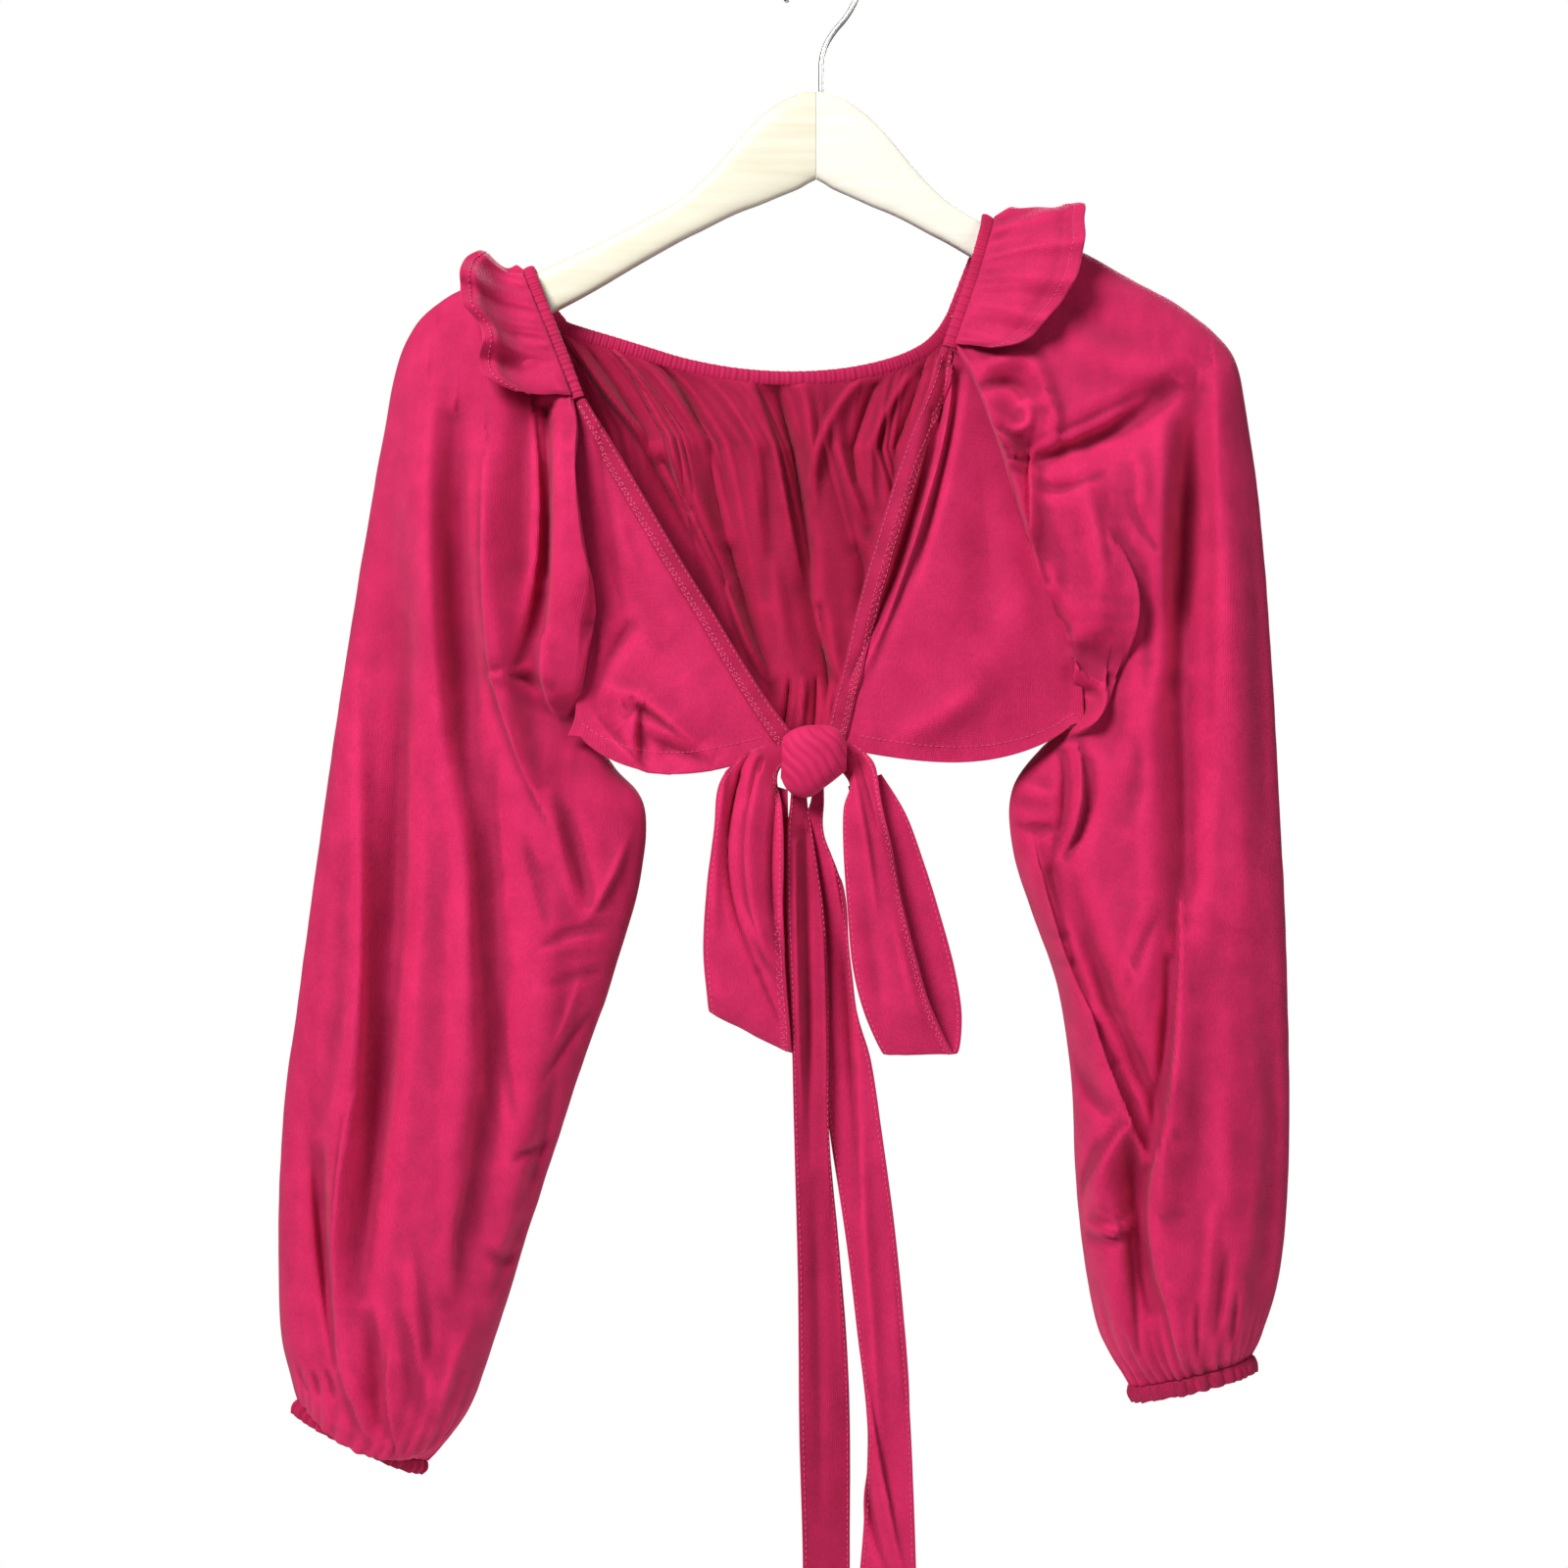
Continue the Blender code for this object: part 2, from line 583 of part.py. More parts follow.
def sleeve_grid(table, front_folds, back_folds, edge, cuff_gathers):
    """The sleeve from its front armhole edge round the outside to the back."""
    rows = spline(table, SLEEVE_ROWS)
    closed = next(i for i in range(SLEEVE_ROWS) if i / (SLEEVE_ROWS - 1) >= 8 / 18 - 1e-6)
    half = SLEEVE_COLUMNS // 2
    overhang = np.zeros(SLEEVE_ROWS)
    overhang[-4:] = OVERHANG
    side = np.sign(table[9][3] - table[9][0])
    grid = np.zeros((SLEEVE_ROWS, SLEEVE_COLUMNS + 1, 3))
    for i, row in enumerate(rows):
        fx, fz, fy, ox, oz, bx, bz, by, front, back, lean, roll = row
        if i >= closed:
            bx, bz, by = fx, fz, fy
            roll = 0.0
        open_part = np.clip((closed - i) / 3, 0, 1)
        t = np.linspace(0, 1, half + 1)
        ring = 0.5 - 0.5 * np.cos(math.pi * t)
        flap = np.sin(0.5 * math.pi * t)
        w = open_part * flap + (1 - open_part) * ring
        fade_edge = open_part + (1 - open_part) * np.clip(np.sin(math.pi * t) * 1.8, 0, 1)
        fade = fade_edge * np.clip(2.2 * np.sin(0.5 * math.pi * (1 - t)), 0, 1)
        turn = np.cos(0.5 * math.pi * t) ** 0.7
        x = fx + (ox - fx) * w
        z = fz + (oz - fz) * w
        z = z - overhang[i] * np.sin(math.pi * t) ** 2
        y = fy * turn - front * np.sin(math.pi * t ** lean)
        y = y - fold_height(x, z, front_folds) * fade
        grid[i, :half + 1] = np.stack([x, y, z], axis=1)
        x = bx + (ox - bx) * w
        z = bz + (oz - bz) * w
        y = by * turn + back * np.sin(math.pi * t ** lean)
        y = y + fold_height(x, z, back_folds) * fade
        behind = np.stack([x, y, z], axis=1)[::-1]
        grid[i, half:] = behind
        tuck = np.array([side * 9 * roll, 7 * roll, 0])
        grid[i, 0] += tuck
    settle = np.clip(1 - np.arange(SLEEVE_ROWS) / 3, 0, 1) ** 1.5
    shift = edge - grid[0]
    grid += settle[:, None, None] * shift[None, :, :]
    for i in range(SLEEVE_ROWS):
        near = max(0.0, (i - SLEEVE_ROWS + 5) / 4)
        centre = grid[i].mean(axis=0)
        for j in range(SLEEVE_COLUMNS + 1):
            wave = cuff_gathers * near * (1 if j % 2 else -1) * 0.5
            pull = grid[i, j] - centre
            grid[i, j] += pull / max(np.linalg.norm(pull), 1e-6) * wave
    return grid, closed


def casing_edge(path, columns, outward):
    """Where the cloth starts under a casing, one point for each column."""
    line, out, cross = casing_frames(path, columns)
    reach = CASING_WIDTH / 2 + SEAM_GAP
    return line + cross * reach * outward


def build_sleeve(name, table, front, back, path, outward, collection):
    edge = casing_edge(path, SLEEVE_COLUMNS + 1, outward)
    grid, closed = sleeve_grid(table, front, back, edge, 2.0)
    points, faces = sheet(grid, closed)
    directions = normals_of(points, faces)
    if directions[SLEEVE_COLUMNS // 4 + (SLEEVE_COLUMNS + 1) * 4][1] > 0:
        faces = [tuple(reversed(face)) for face in faces]
    solid, shell = wall(points, faces, CLOTH)
    add_object(name, solid, shell, RED, collection)
    return grid


def build_cuff(name, grid, collection):
    """A gathered band that hangs on the sleeve's last ring."""
    ring = grid[-1][:-1]
    centre = ring.mean(axis=0)
    before = grid[-3][:-1].mean(axis=0)
    left = ring[0] - ring[SLEEVE_COLUMNS // 2]
    axis = np.cross(left, np.array([0.0, 1.0, 0.0]))
    axis = axis / np.linalg.norm(axis)
    if np.dot(axis, centre - before) < 0:
        axis = -axis
    rows = []
    for step in (SEAM_GAP + 0.3, SEAM_GAP + 0.3 + CUFF_HEIGHT / 2, SEAM_GAP + 0.3 + CUFF_HEIGHT):
        swell = 1.0 + 0.02 * math.sin(math.pi * (step - SEAM_GAP) / CUFF_HEIGHT)
        ring_row = centre + (ring - centre) * swell + axis * step
        rows.append(np.vstack([ring_row, ring_row[:1]]))
    grid_cuff = np.array(rows)
    points, faces = sheet(grid_cuff, 0)
    solid, shell = wall(points, faces, CUFF_THICK)
    shell = face_out(solid, shell)
    add_object(name, solid, shell, RED_DEEP, collection)


def front_grid(table, folds):
    """A front panel from its side to its front edge, band columns last."""
    rows = spline(table, FRONT_ROWS)
    grid = np.zeros((FRONT_ROWS, FRONT_COLUMNS, 3))
    for i, (sx, sz, sy, ex, ez, ey, sag, swell) in enumerate(rows):
        width = abs(ex - sx)
        band = min(BAND_WIDTH, 0.42 * width) / width
        t = np.linspace(0, 1 - band, FRONT_COLUMNS - 2)
        t = np.append(t, [1 - band / 2, 1])
        x = sx + (ex - sx) * t
        z = sz + (ez - sz) * t - sag * np.sin(math.pi * t ** 0.75)
        y = sy + (ey - sy) * t ** 1.2 - swell * np.sin(math.pi * t)
        fade = np.clip(t * 4, 0, 1)
        y = y - fold_height(x, z, folds) * fade
        grid[i] = np.stack([x, y, z], axis=1)
    return grid


def build_front(name, table, folds, collection):
    grid = front_grid(table, folds)
    points, faces = sheet(grid)
    strip = slice(-3, None)
    if normals_of(points, faces)[:, 1].mean() > 0:
        grid = grid[:, ::-1]
        points, faces = sheet(grid)
        strip = slice(0, 3)
    solid, shell = wall(points, faces, CLOTH)
    add_object(name, solid, shell, RED, collection)
    band_points, band_faces = sheet(grid[:, strip])
    full = normals_of(points, faces).reshape(FRONT_ROWS, FRONT_COLUMNS, 3)
    directions = full[:, strip].reshape(-1, 3)
    under = band_points + directions * 0.35
    over = under + directions * BAND_CLOTH
    count = len(band_points)
    solid = np.vstack([over, under])
    shell = list(band_faces)
    shell += [(a + count, d + count, c + count, b + count) for a, b, c, d in band_faces]
    shell += [(b, a, a + count, b + count) for a, b in rim_edges(band_faces)]
    add_object(name.replace("front", "front_band"), solid, shell, RED_DEEP, collection)


def build_back(collection):
    rows = spline(BACK_PANEL, BACK_ROWS)
    grid = np.zeros((BACK_ROWS, BACK_COLUMNS + 1, 3))
    t = np.linspace(0, 1, BACK_COLUMNS + 1)
    line, out, cross = casing_frames(BACK_CASING, BACK_COLUMNS + 1)
    reach = CASING_WIDTH / 2 + SEAM_GAP
    edge = line + cross * reach
    if edge[:, 2].mean() > line[:, 2].mean():
        edge = line - cross * reach
    for i, (lx, lz, ly, rx, rz, ry, dip, belly) in enumerate(rows):
        x = lx + (rx - lx) * t
        z = lz + (rz - lz) * t - dip * np.sin(math.pi * t)
        y = ly + (ry - ly) * t + belly * np.sin(math.pi * t)
        fade = np.clip(np.sin(math.pi * t) * 3, 0, 1)
        y = y - fold_height(x, z, BACK_FOLDS) * fade
        down = i / (BACK_ROWS - 1)
        depth = 2.6 * (1 - down) ** 1.3 + 0.5
        uneven = 0.3 * np.sin(t * 17.0)
        y = y + depth * fade * np.cos(2 * math.pi * (BACK_GATHERS * t + uneven))
        grid[i] = np.stack([x, y, z], axis=1)
    settle = np.clip(1 - np.arange(BACK_ROWS) / 2, 0, 1)
    shift = edge - grid[0]
    grid[:, :, 0] += settle[:, None] * shift[None, :, 0]
    grid[:, :, 2] += settle[:, None] * shift[None, :, 2]
    grid[:, :, 1] += settle[:, None] * shift[None, :, 1]
    points, faces = sheet(grid)
    if normals_of(points, faces)[:, 1].mean() < 0:
        faces = [tuple(reversed(face)) for face in faces]
    solid, shell = wall(points, faces, CLOTH)
    add_object("back_panel", solid, shell, RED, collection)


def build_casing(name, path, count, collection):
    line, out, cross = casing_frames(path, count)
    points, faces = tube(line, out, cross, CASING_WIDTH / 2, CASING_THICK / 2, 8, 0.12)
    add_object(name, points, face_out(points, faces), RED_DEEP, collection)


def build_ruffle(name, table, path, outward, collection):
    """A waved strip sewn on the outer half of the casing."""
    rows = spline(table, 2 * len(table) - 1)
    line, out, cross = casing_frames(path, 161)
    steps = np.linspace(0, 1, 5)
    grid = np.zeros((len(rows), len(steps), 3))
    for i, (place, ex, ez, ey) in enumerate(rows):
        k = int(round(np.clip(place, 0, 1) * 160))
        sewn = line[k] + cross[k] * outward * 3.2 + out[k] * RUFFLE_STAND
        free = np.array([ex, ey, ez])
        for j, step in enumerate(steps):
            grid[i, j] = sewn + (free - sewn) * step
    points, faces = sheet(grid)
    half = len(points) // 3
    if normals_of(points, faces)[:half, 1].mean() > 0:
        faces = [tuple(reversed(face)) for face in faces]
    solid, shell = wall(points, faces, RUFFLE_CLOTH)
    add_object(name, solid, shell, RED, collection)


def build_loop(name, table, collection):
    """A tie folded down and up again, open at both sides."""
    rows = spline(table, 2 * len(table) - 3)
    steps = np.linspace(0, 1, 5)
    grid = np.zeros((len(rows), len(steps), 3))
    for i, (lx, lz, rx, rz, y) in enumerate(rows):
        x = lx + (rx - lx) * steps
        z = lz + (rz - lz) * steps
        ends = min(1.0, 0.5 * i, 0.5 * (len(rows) - 1 - i))
        bow = y - 1.5 * ends * np.sin(math.pi * steps)
        grid[i] = np.stack([x, bow, z], axis=1)
    points, faces = sheet(grid)
    solid, shell = wall(points, faces, CLOTH)
    add_object(name, solid, face_out(solid, shell), RED, collection)


def build_tail(name, table, collection):
    rows = spline(table, 2 * len(table) + 1)
    steps = np.linspace(-1, 1, 4)
    grid = np.zeros((len(rows), len(steps), 3))
    for i, (z, lx, rx, y, twist) in enumerate(rows):
        x = 0.5 * (lx + rx) + 0.5 * (rx - lx) * steps
        deep = y - 0.5 * twist * steps
        grid[i] = np.stack([x, deep, np.full_like(x, z)], axis=1)
    points, faces = sheet(grid)
    if normals_of(points, faces)[:, 1].mean() > 0:
        faces = [tuple(reversed(face)) for face in faces]
    solid, shell = wall(points, faces, CLOTH)
    add_object(name, solid, shell, RED, collection)


def closed_rings(rings):
    """A closed solid from rings, flat at both ends."""
    count = len(rings[0])
    points = np.vstack(rings)
    faces = []
    for i in range(len(rings) - 1):
        for k in range(count):
            n = (k + 1) % count
            a = i * count
            b = a + count
            faces.append((a + k, b + k, b + n, a + n))
    faces.append(tuple(range(count)))
    faces.append(tuple((len(rings) - 1) * count + k for k in reversed(range(count))))
    return points, face_out(points, faces)


def build_knot(collection):
    rings = []
    sides = 20
    for x, top, bottom, deep in spline(KNOT, 11):
        ring = []
        for k in range(sides):
            angle = 2 * math.pi * k / sides
            front = max(0.0, math.cos(angle))
            pleat = 1 + 0.07 * front * math.cos(2 * KNOT_PLEATS * angle + x * 0.16)
            lean = 3.0 * math.sin(angle)
            z = 0.5 * (top + bottom) + 0.5 * (top - bottom) * math.sin(angle)
            y = KNOT_Y - deep * pleat * math.cos(angle)
            ring.append((x - lean * 0.25, y, z))
        rings.append(np.array(ring))
    points, faces = closed_rings(rings)
    add_object("knot", points, faces, RED_DEEP, collection)


def build_arm(name, side, color, collection):
    rings = []
    sides = 12
    for distance, top, bottom in HANGER:
        x = JOINT_X + side * (distance + JOINT_GAP / 2)
        half = 0.5 * (top - bottom)
        middle = 0.5 * (top + bottom) - (RIGHT_DROOP * distance if side > 0 else 0)
        deep = ARM_HALF_THICK * min(1.0, (222.0 - distance) / 9.0) ** 0.5
        ring = []
        for k in range(sides):
            angle = 2 * math.pi * (k + 0.5) / sides
            wide = math.copysign(abs(math.cos(angle)) ** 0.55, math.cos(angle))
            high = math.copysign(abs(math.sin(angle)) ** 0.55, math.sin(angle))
            ring.append((x, deep * wide * 1.02, middle + half * high * 1.02))
        rings.append(np.array(ring))
    points, faces = closed_rings(rings)
    add_object(name, points, faces, color, collection, 0.45)


def build_hook(collection):
    centre_z = WIRE_RADIUS - HOOK_RADIUS
    path = [(0, WOOD_TOP + JOINT_GAP), (0, -72), (0.4, -63), (3.2, -54), (8.0, -46.5), (13.5, -40), (18.0, -33)]
    for degrees in np.linspace(-15, 205, 18):
        angle = math.radians(degrees)
        path.append((HOOK_RADIUS * math.cos(angle), centre_z + HOOK_RADIUS * math.sin(angle)))
    rows = np.array([(x, z, 0.0, -1.0, 0.0) for x, z in path])
    line = np.stack([rows[:, 0], rows[:, 2], rows[:, 1]], axis=1)
    along = np.gradient(line, axis=0)
    along = along / np.linalg.norm(along, axis=1)[:, None]
    out = np.tile(np.array([0.0, -1.0, 0.0]), (len(line), 1))
    cross = np.cross(along, out)
    points, faces = tube(line, out, cross, WIRE_RADIUS, WIRE_RADIUS, 10)
    add_object("hanger_hook", points, face_out(points, faces), WIRE, collection, 0.3, 1.0)


def main():
    clear_scene()
    top = bpy.data.collections.new("off_shoulder_top")
    bpy.context.scene.collection.children.link(top)
    build_arm("hanger_arm_left", -1, WOOD_LEFT, top)
    build_arm("hanger_arm_right", 1, WOOD_RIGHT, top)
    build_hook(top)
    left = build_sleeve("sleeve_left", LEFT_SLEEVE, LEFT_SLEEVE_FRONT_FOLDS,
                        LEFT_SLEEVE_BACK_FOLDS, LEFT_CASING, -1, top)
    right = build_sleeve("sleeve_right", RIGHT_SLEEVE, RIGHT_SLEEVE_FRONT_FOLDS,
                         RIGHT_SLEEVE_BACK_FOLDS, RIGHT_CASING, 1, top)
    build_cuff("cuff_left", left, top)
    build_cuff("cuff_right", right, top)
    build_front("front_left", LEFT_FRONT, LEFT_FRONT_FOLDS, top)
    build_front("front_right", RIGHT_FRONT, RIGHT_FRONT_FOLDS, top)
    build_back(top)
    build_casing("neck_casing_left", LEFT_CASING, 19, top)
    build_casing("neck_casing_right", RIGHT_CASING, 19, top)
    build_casing("neck_casing_back", BACK_CASING, 43, top)
    build_ruffle("ruffle_left", LEFT_RUFFLE, LEFT_CASING, -1, top)
    build_ruffle("ruffle_right", RIGHT_RUFFLE, RIGHT_CASING, 1, top)
    build_knot(top)
    build_loop("bow_loop_left", LEFT_LOOP, top)
    build_loop("bow_loop_right", RIGHT_LOOP, top)
    build_tail("tail_left", LEFT_TAIL, top)
    build_tail("tail_right", RIGHT_TAIL, top)


main()
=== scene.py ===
import math

import bpy
import numpy as np
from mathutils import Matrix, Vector, noise


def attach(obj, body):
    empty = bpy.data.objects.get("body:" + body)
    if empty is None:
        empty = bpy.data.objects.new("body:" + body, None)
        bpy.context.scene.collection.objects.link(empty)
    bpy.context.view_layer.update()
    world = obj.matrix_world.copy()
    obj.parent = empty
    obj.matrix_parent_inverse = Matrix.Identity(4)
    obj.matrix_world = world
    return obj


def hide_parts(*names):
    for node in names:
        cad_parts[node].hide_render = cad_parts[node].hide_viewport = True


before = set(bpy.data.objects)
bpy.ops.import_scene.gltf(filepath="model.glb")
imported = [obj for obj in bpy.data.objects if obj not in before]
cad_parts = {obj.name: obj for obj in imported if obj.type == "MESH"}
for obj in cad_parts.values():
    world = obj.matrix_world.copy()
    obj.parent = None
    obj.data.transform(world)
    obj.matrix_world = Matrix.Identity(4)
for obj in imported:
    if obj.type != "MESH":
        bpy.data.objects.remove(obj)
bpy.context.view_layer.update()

# Sizes are in millimetres in the tables and turned to metres at the mesh.
MM = 0.001
SEAM_GAP = 0.4
BAND_WIDTH = 12.0
CASING_WIDTH = 8.6
CASING_THICK = 3.2
RUFFLE_STAND = 2.7
CUFF_HEIGHT = 8.5
LEFT_OVERHANG = (
    (0, 0.0, 0.0),
    (18, 0.0, 0.0),
    (19, 4.0, 1.5),
    (20, 11.0, 5.0),
    (20.8, 18.0, 8.5),
    (21.3, 19.0, 9.0),
    (21.7, 11.0, 5.0),
    (22, 0.0, 0.0),
)
RIGHT_OVERHANG = (
    (0, 0.0, 0.0),
    (19, 0.0, 0.0),
    (20.5, 3.0, 1.5),
    (21.4, 3.0, 2.0),
    (22, 0.0, 0.0),
)
CUFF_THICK = 1.8
ARM_HALF_THICK = 6.0
JOINT_GAP = 0.3
JOINT_X = -3.0
RIGHT_DROOP = 0.035
WIRE_RADIUS = 1.65
HOOK_RADIUS = 22.0
WOOD_TOP = -82.6

# The photograph: one pixel in millimetres, the pixel of the hook's top and the middle
# of the view, about which cloth looks larger the nearer it is.
PIXEL_MM = 0.578
ORIGIN_PIXEL = (838, -49)
VIEW_CENTRE = (-22.0, -490.7)
FRONT_SCALE = 0.982
BACK_SCALE = 1.012
LOOP_SCALE = 0.966
LEFT_TAIL_SCALE = 0.972
RIGHT_TAIL_SCALE = 0.976

# How far the fine folds stand out against the heights in their rows.
LEFT_SLEEVE_RELIEF = 1.08
RIGHT_SLEEVE_RELIEF = 1.04
LEFT_FRONT_RELIEF = 1.15
RIGHT_FRONT_RELIEF = 1.1
BACK_RELIEF = 1.24
BACK_SPREAD = 0.9

# Points across and down each grid of cloth, and steps along a fold's line.
SLEEVE_AROUND = 260
SLEEVE_DOWN = 280
FRONT_ACROSS = 120
FRONT_DOWN = 140
BACK_ACROSS = 310
BACK_DOWN = 100
RUFFLE_ACROSS = 36
RUFFLE_DOWN = 240
LOOP_ACROSS = 40
LOOP_DOWN = 190
TAIL_ACROSS = 34
TAIL_DOWN = 260
FOLD_STEPS = 14

# The CAD sleeve has this many steps down, and its tube is closed from the tenth on.
CAD_ROWS = 22
CLOSED_AT = 10 / CAD_ROWS

# The camera and the floor, in metres: how far the camera stands off, how far it sees
# to each side there, the floor's radius and height, and what the lamps point at.
CAMERA_DISTANCE = 1.6
VIEW_HALF_WIDTH = 0.4624
FLOOR_RADIUS = 1.1
FLOOR_HEIGHT = -1.35
FLOOR_SIDES = 96
LIGHT_AIM = (-0.02, 0.0, -0.5)

# Light of the surroundings, then each lamp's power in watts.
WORLD_LIGHT = 0.10
KEY_LIGHT = 90.0
FILL_LIGHT = 12.0
RIM_LIGHT = 40.0

# Tables of the garment. Each row is one section or one fold.

# Sleeve sections from the neckline (first) to the cuff (last):
# front edge x, z, y; outer edge x, z; back edge x, z, y;
# front fullness, back fullness, how far out the fullness lies, roll of the edge.
LEFT_SLEEVE = (
    (-146, -268, -27, -177, -190, -158.5, -220, 17, 0, 0, 1.0, 0.0),
    (-138, -286, -30, -206, -195, -150, -245, 19, 3, 3, 1.0, 0.5),
    (-135, -310, -31, -229, -210, -142, -278, 21, 5, 5, 1.0, 1.0),
    (-132, -335, -32, -243, -228, -137, -308, 22, 7, 7, 1.0, 1.0),
    (-128, -360, -32, -251, -251, -134, -338, 22, 9, 9, 1.0, 1.0),
    (-123, -386, -32, -257, -283, -132, -368, 22, 11, 11, 1.1, 1.0),
    (-130, -413, -29, -264, -320, -132, -400, 20, 13, 12, 1.0, 0.7),
    (-138, -438, -20, -271, -360, -136, -428, 14, 18, 16, 1.0, 0.3),
    (-139, -456, -5, -278, -405, -139, -456, -5, 24, 20, 1.15, 0.0),
    (-122, -480, -4, -286, -455, -122, -480, -4, 27, 24, 1.25, 0.0),
    (-104, -505, -3, -294, -510, -104, -505, -3, 29, 27, 1.15, 0.0),
    (-107, -550, -2, -302, -568, -107, -550, -2, 28, 27, 1.0, 0.0),
    (-122, -602, -1, -309, -622, -122, -602, -1, 32, 31, 1.0, 0.0),
    (-140, -654, 0, -316, -672, -140, -654, 0, 34, 33, 1.0, 0.0),
    (-156, -702, 0, -320, -725, -156, -702, 0, 35, 34, 1.0, 0.0),
    (-172, -752, 0, -320, -776, -172, -752, 0, 34, 33, 1.0, 0.0),
    (-188, -803, 0, -318, -815, -188, -803, 0, 31, 30, 1.0, 0.0),
    (-208, -858, 0, -312, -839, -208, -858, 0, 24, 23, 1.0, 0.0),
    (-233, -889, 0, -308, -853, -233, -889, 0, 15, 15, 1.0, 0.0),
)
RIGHT_SLEEVE = (
    (80, -238, -27, 103, -161, 76, -231, 18, 0, 0, 1.0, 0.0),
    (86, -262, -30, 130, -166, 84, -258, 20, 3, 3, 1.0, 0.6),
    (93, -292, -31, 155, -178, 92, -288, 22, 5, 5, 1.0, 1.0),
    (102, -322, -32, 182, -194, 101, -318, 22, 7, 7, 1.0, 1.0),
    (113, -356, -32, 209, -209, 111, -348, 22, 9, 9, 1.0, 1.0),
    (127, -390, -31, 232, -226, 122, -378, 21, 11, 11, 1.1, 1.0),
    (139, -416, -27, 245, -247, 134, -405, 19, 13, 12, 1.0, 0.7),
    (146.5, -438, -15, 252, -285, 143, -430, 12, 18, 16, 1.0, 0.0),
    (146, -454, -4, 258, -330, 146, -454, -4, 24, 20, 1.15, 0.0),
    (129, -470, -4, 263, -385, 129, -470, -4, 27, 24, 1.25, 0.0),
    (112, -495, -3, 267, -440, 112, -495, -3, 29, 27, 1.15, 0.0),
    (113, -530, -2, 270, -500, 113, -530, -2, 28, 27, 1.0, 0.0),
    (124, -568, -1, 273, -560, 124, -568, -1, 32, 31, 1.0, 0.0),
    (139, -608, 0, 275, -620, 139, -608, 0, 34, 33, 1.0, 0.0),
    (147, -658, 0, 276, -680, 147, -658, 0, 35, 34, 1.0, 0.0),
    (149, -712, 0, 274, -738, 149, -712, 0, 34, 33, 1.0, 0.0),
    (154, -765, 0, 269, -782, 154, -765, 0, 31, 30, 1.0, 0.0),
    (164, -812, 0, 260, -813, 164, -812, 0, 25, 24, 1.0, 0.0),
    (183, -845, 0, 253, -828, 183, -845, 0, 15, 15, 1.0, 0.0),
)

# Folds: start x, z; middle x, z; end x, z; half width; height toward the
# viewer; skew (one side steeper); how much of it stands at its start.
LEFT_SLEEVE_FRONT_FOLDS = (
    (-146, -300, -143, -360, -150, -446, 12, 12, 0.0, 0.4),
    (-170, -262, -171, -340, -166, -430, 10, -15, 0.0, 0.9),
    (-194, -300, -184, -430, -160, -540, 13, 9, 0.4, 0.2),
    (-212, -282, -212, -420, -190, -560, 10, -11, -0.3, 0.3),
    (-228, -262, -224, -400, -206, -540, 13, 9, 0.2, 0.2),
    (-250, -300, -256, -440, -262, -560, 12, -5, 0.0, 0.1),
    (-270, -340, -284, -445, -298, -580, 13, 7, 0.0, 0.0),
    (-274, -450, -272, -620, -280, -820, 12, 8, 0.3, 0.0),
    (-248, -450, -254, -630, -272, -820, 11, -11, 0.2, 0.0),
    (-216, -480, -208, -630, -232, -830, 14, 9, 0.2, 0.0),
    (-190, -510, -190, -640, -212, -810, 11, -7, 0.0, 0.0),
    (-158, -550, -166, -660, -196, -810, 12, 6, 0.2, 0.0),
    (-297, -640, -294, -740, -290, -845, 9, -7, 0.0, 0.0),
)
LEFT_SLEEVE_BACK_FOLDS = (
    (-150, -262, -150, -340, -152, -430, 12, 11, 0.0, 0.6),
    (-172, -255, -174, -340, -172, -430, 10, -11, 0.0, 0.7),
    (-226, -255, -225, -400, -212, -520, 14, 8, 0.2, 0.2),
    (-200, -330, -194, -450, -172, -560, 12, -9, 0.2, 0.2),
    (-262, -380, -276, -520, -286, -660, 14, 7, 0.0, 0.0),
    (-250, -540, -262, -690, -282, -835, 12, -8, 0.2, 0.0),
    (-195, -560, -220, -700, -255, -850, 14, 8, 0.0, 0.0),
    (-150, -600, -180, -710, -228, -845, 11, -7, 0.0, 0.0),
)
RIGHT_SLEEVE_FRONT_FOLDS = (
    (92, -250, 104, -300, 120, -350, 10, 10, 0.0, 0.6),
    (126, -300, 127, -345, 128, -378, 9, -8, 0.0, 0.6),
    (122, -300, 165, -284, 216, -248, 11, -11, 0.3, 0.6),
    (142, -300, 160, -372, 150, -424, 12, 11, -0.2, 0.5),
    (130, -392, 148, -410, 166, -424, 8, -8, 0.0, 0.4),
    (168, -340, 176, -420, 160, -490, 11, -6, 0.2, 0.2),
    (224, -246, 212, -370, 210, -620, 12, -11, 0.3, 0.2),
    (241, -280, 242, -420, 246, -600, 13, 7, 0.0, 0.0),
    (190, -290, 188, -420, 182, -560, 14, 8, 0.0, 0.1),
    (116, -510, 150, -596, 199, -707, 11, 10, 0.5, 0.2),
    (140, -530, 176, -636, 206, -700, 10, -11, 0.4, 0.2),
    (212, -610, 199, -690, 197, -740, 8, 9, -0.6, 0.0),
    (182, -690, 186, -760, 202, -842, 11, -10, 0.0, 0.2),
    (226, -600, 238, -720, 236, -832, 14, 9, 0.0, 0.0),
    (256, -560, 262, -700, 250, -820, 11, -6, 0.0, 0.0),
    (160, -640, 166, -740, 188, -836, 11, 7, 0.0, 0.0),
)
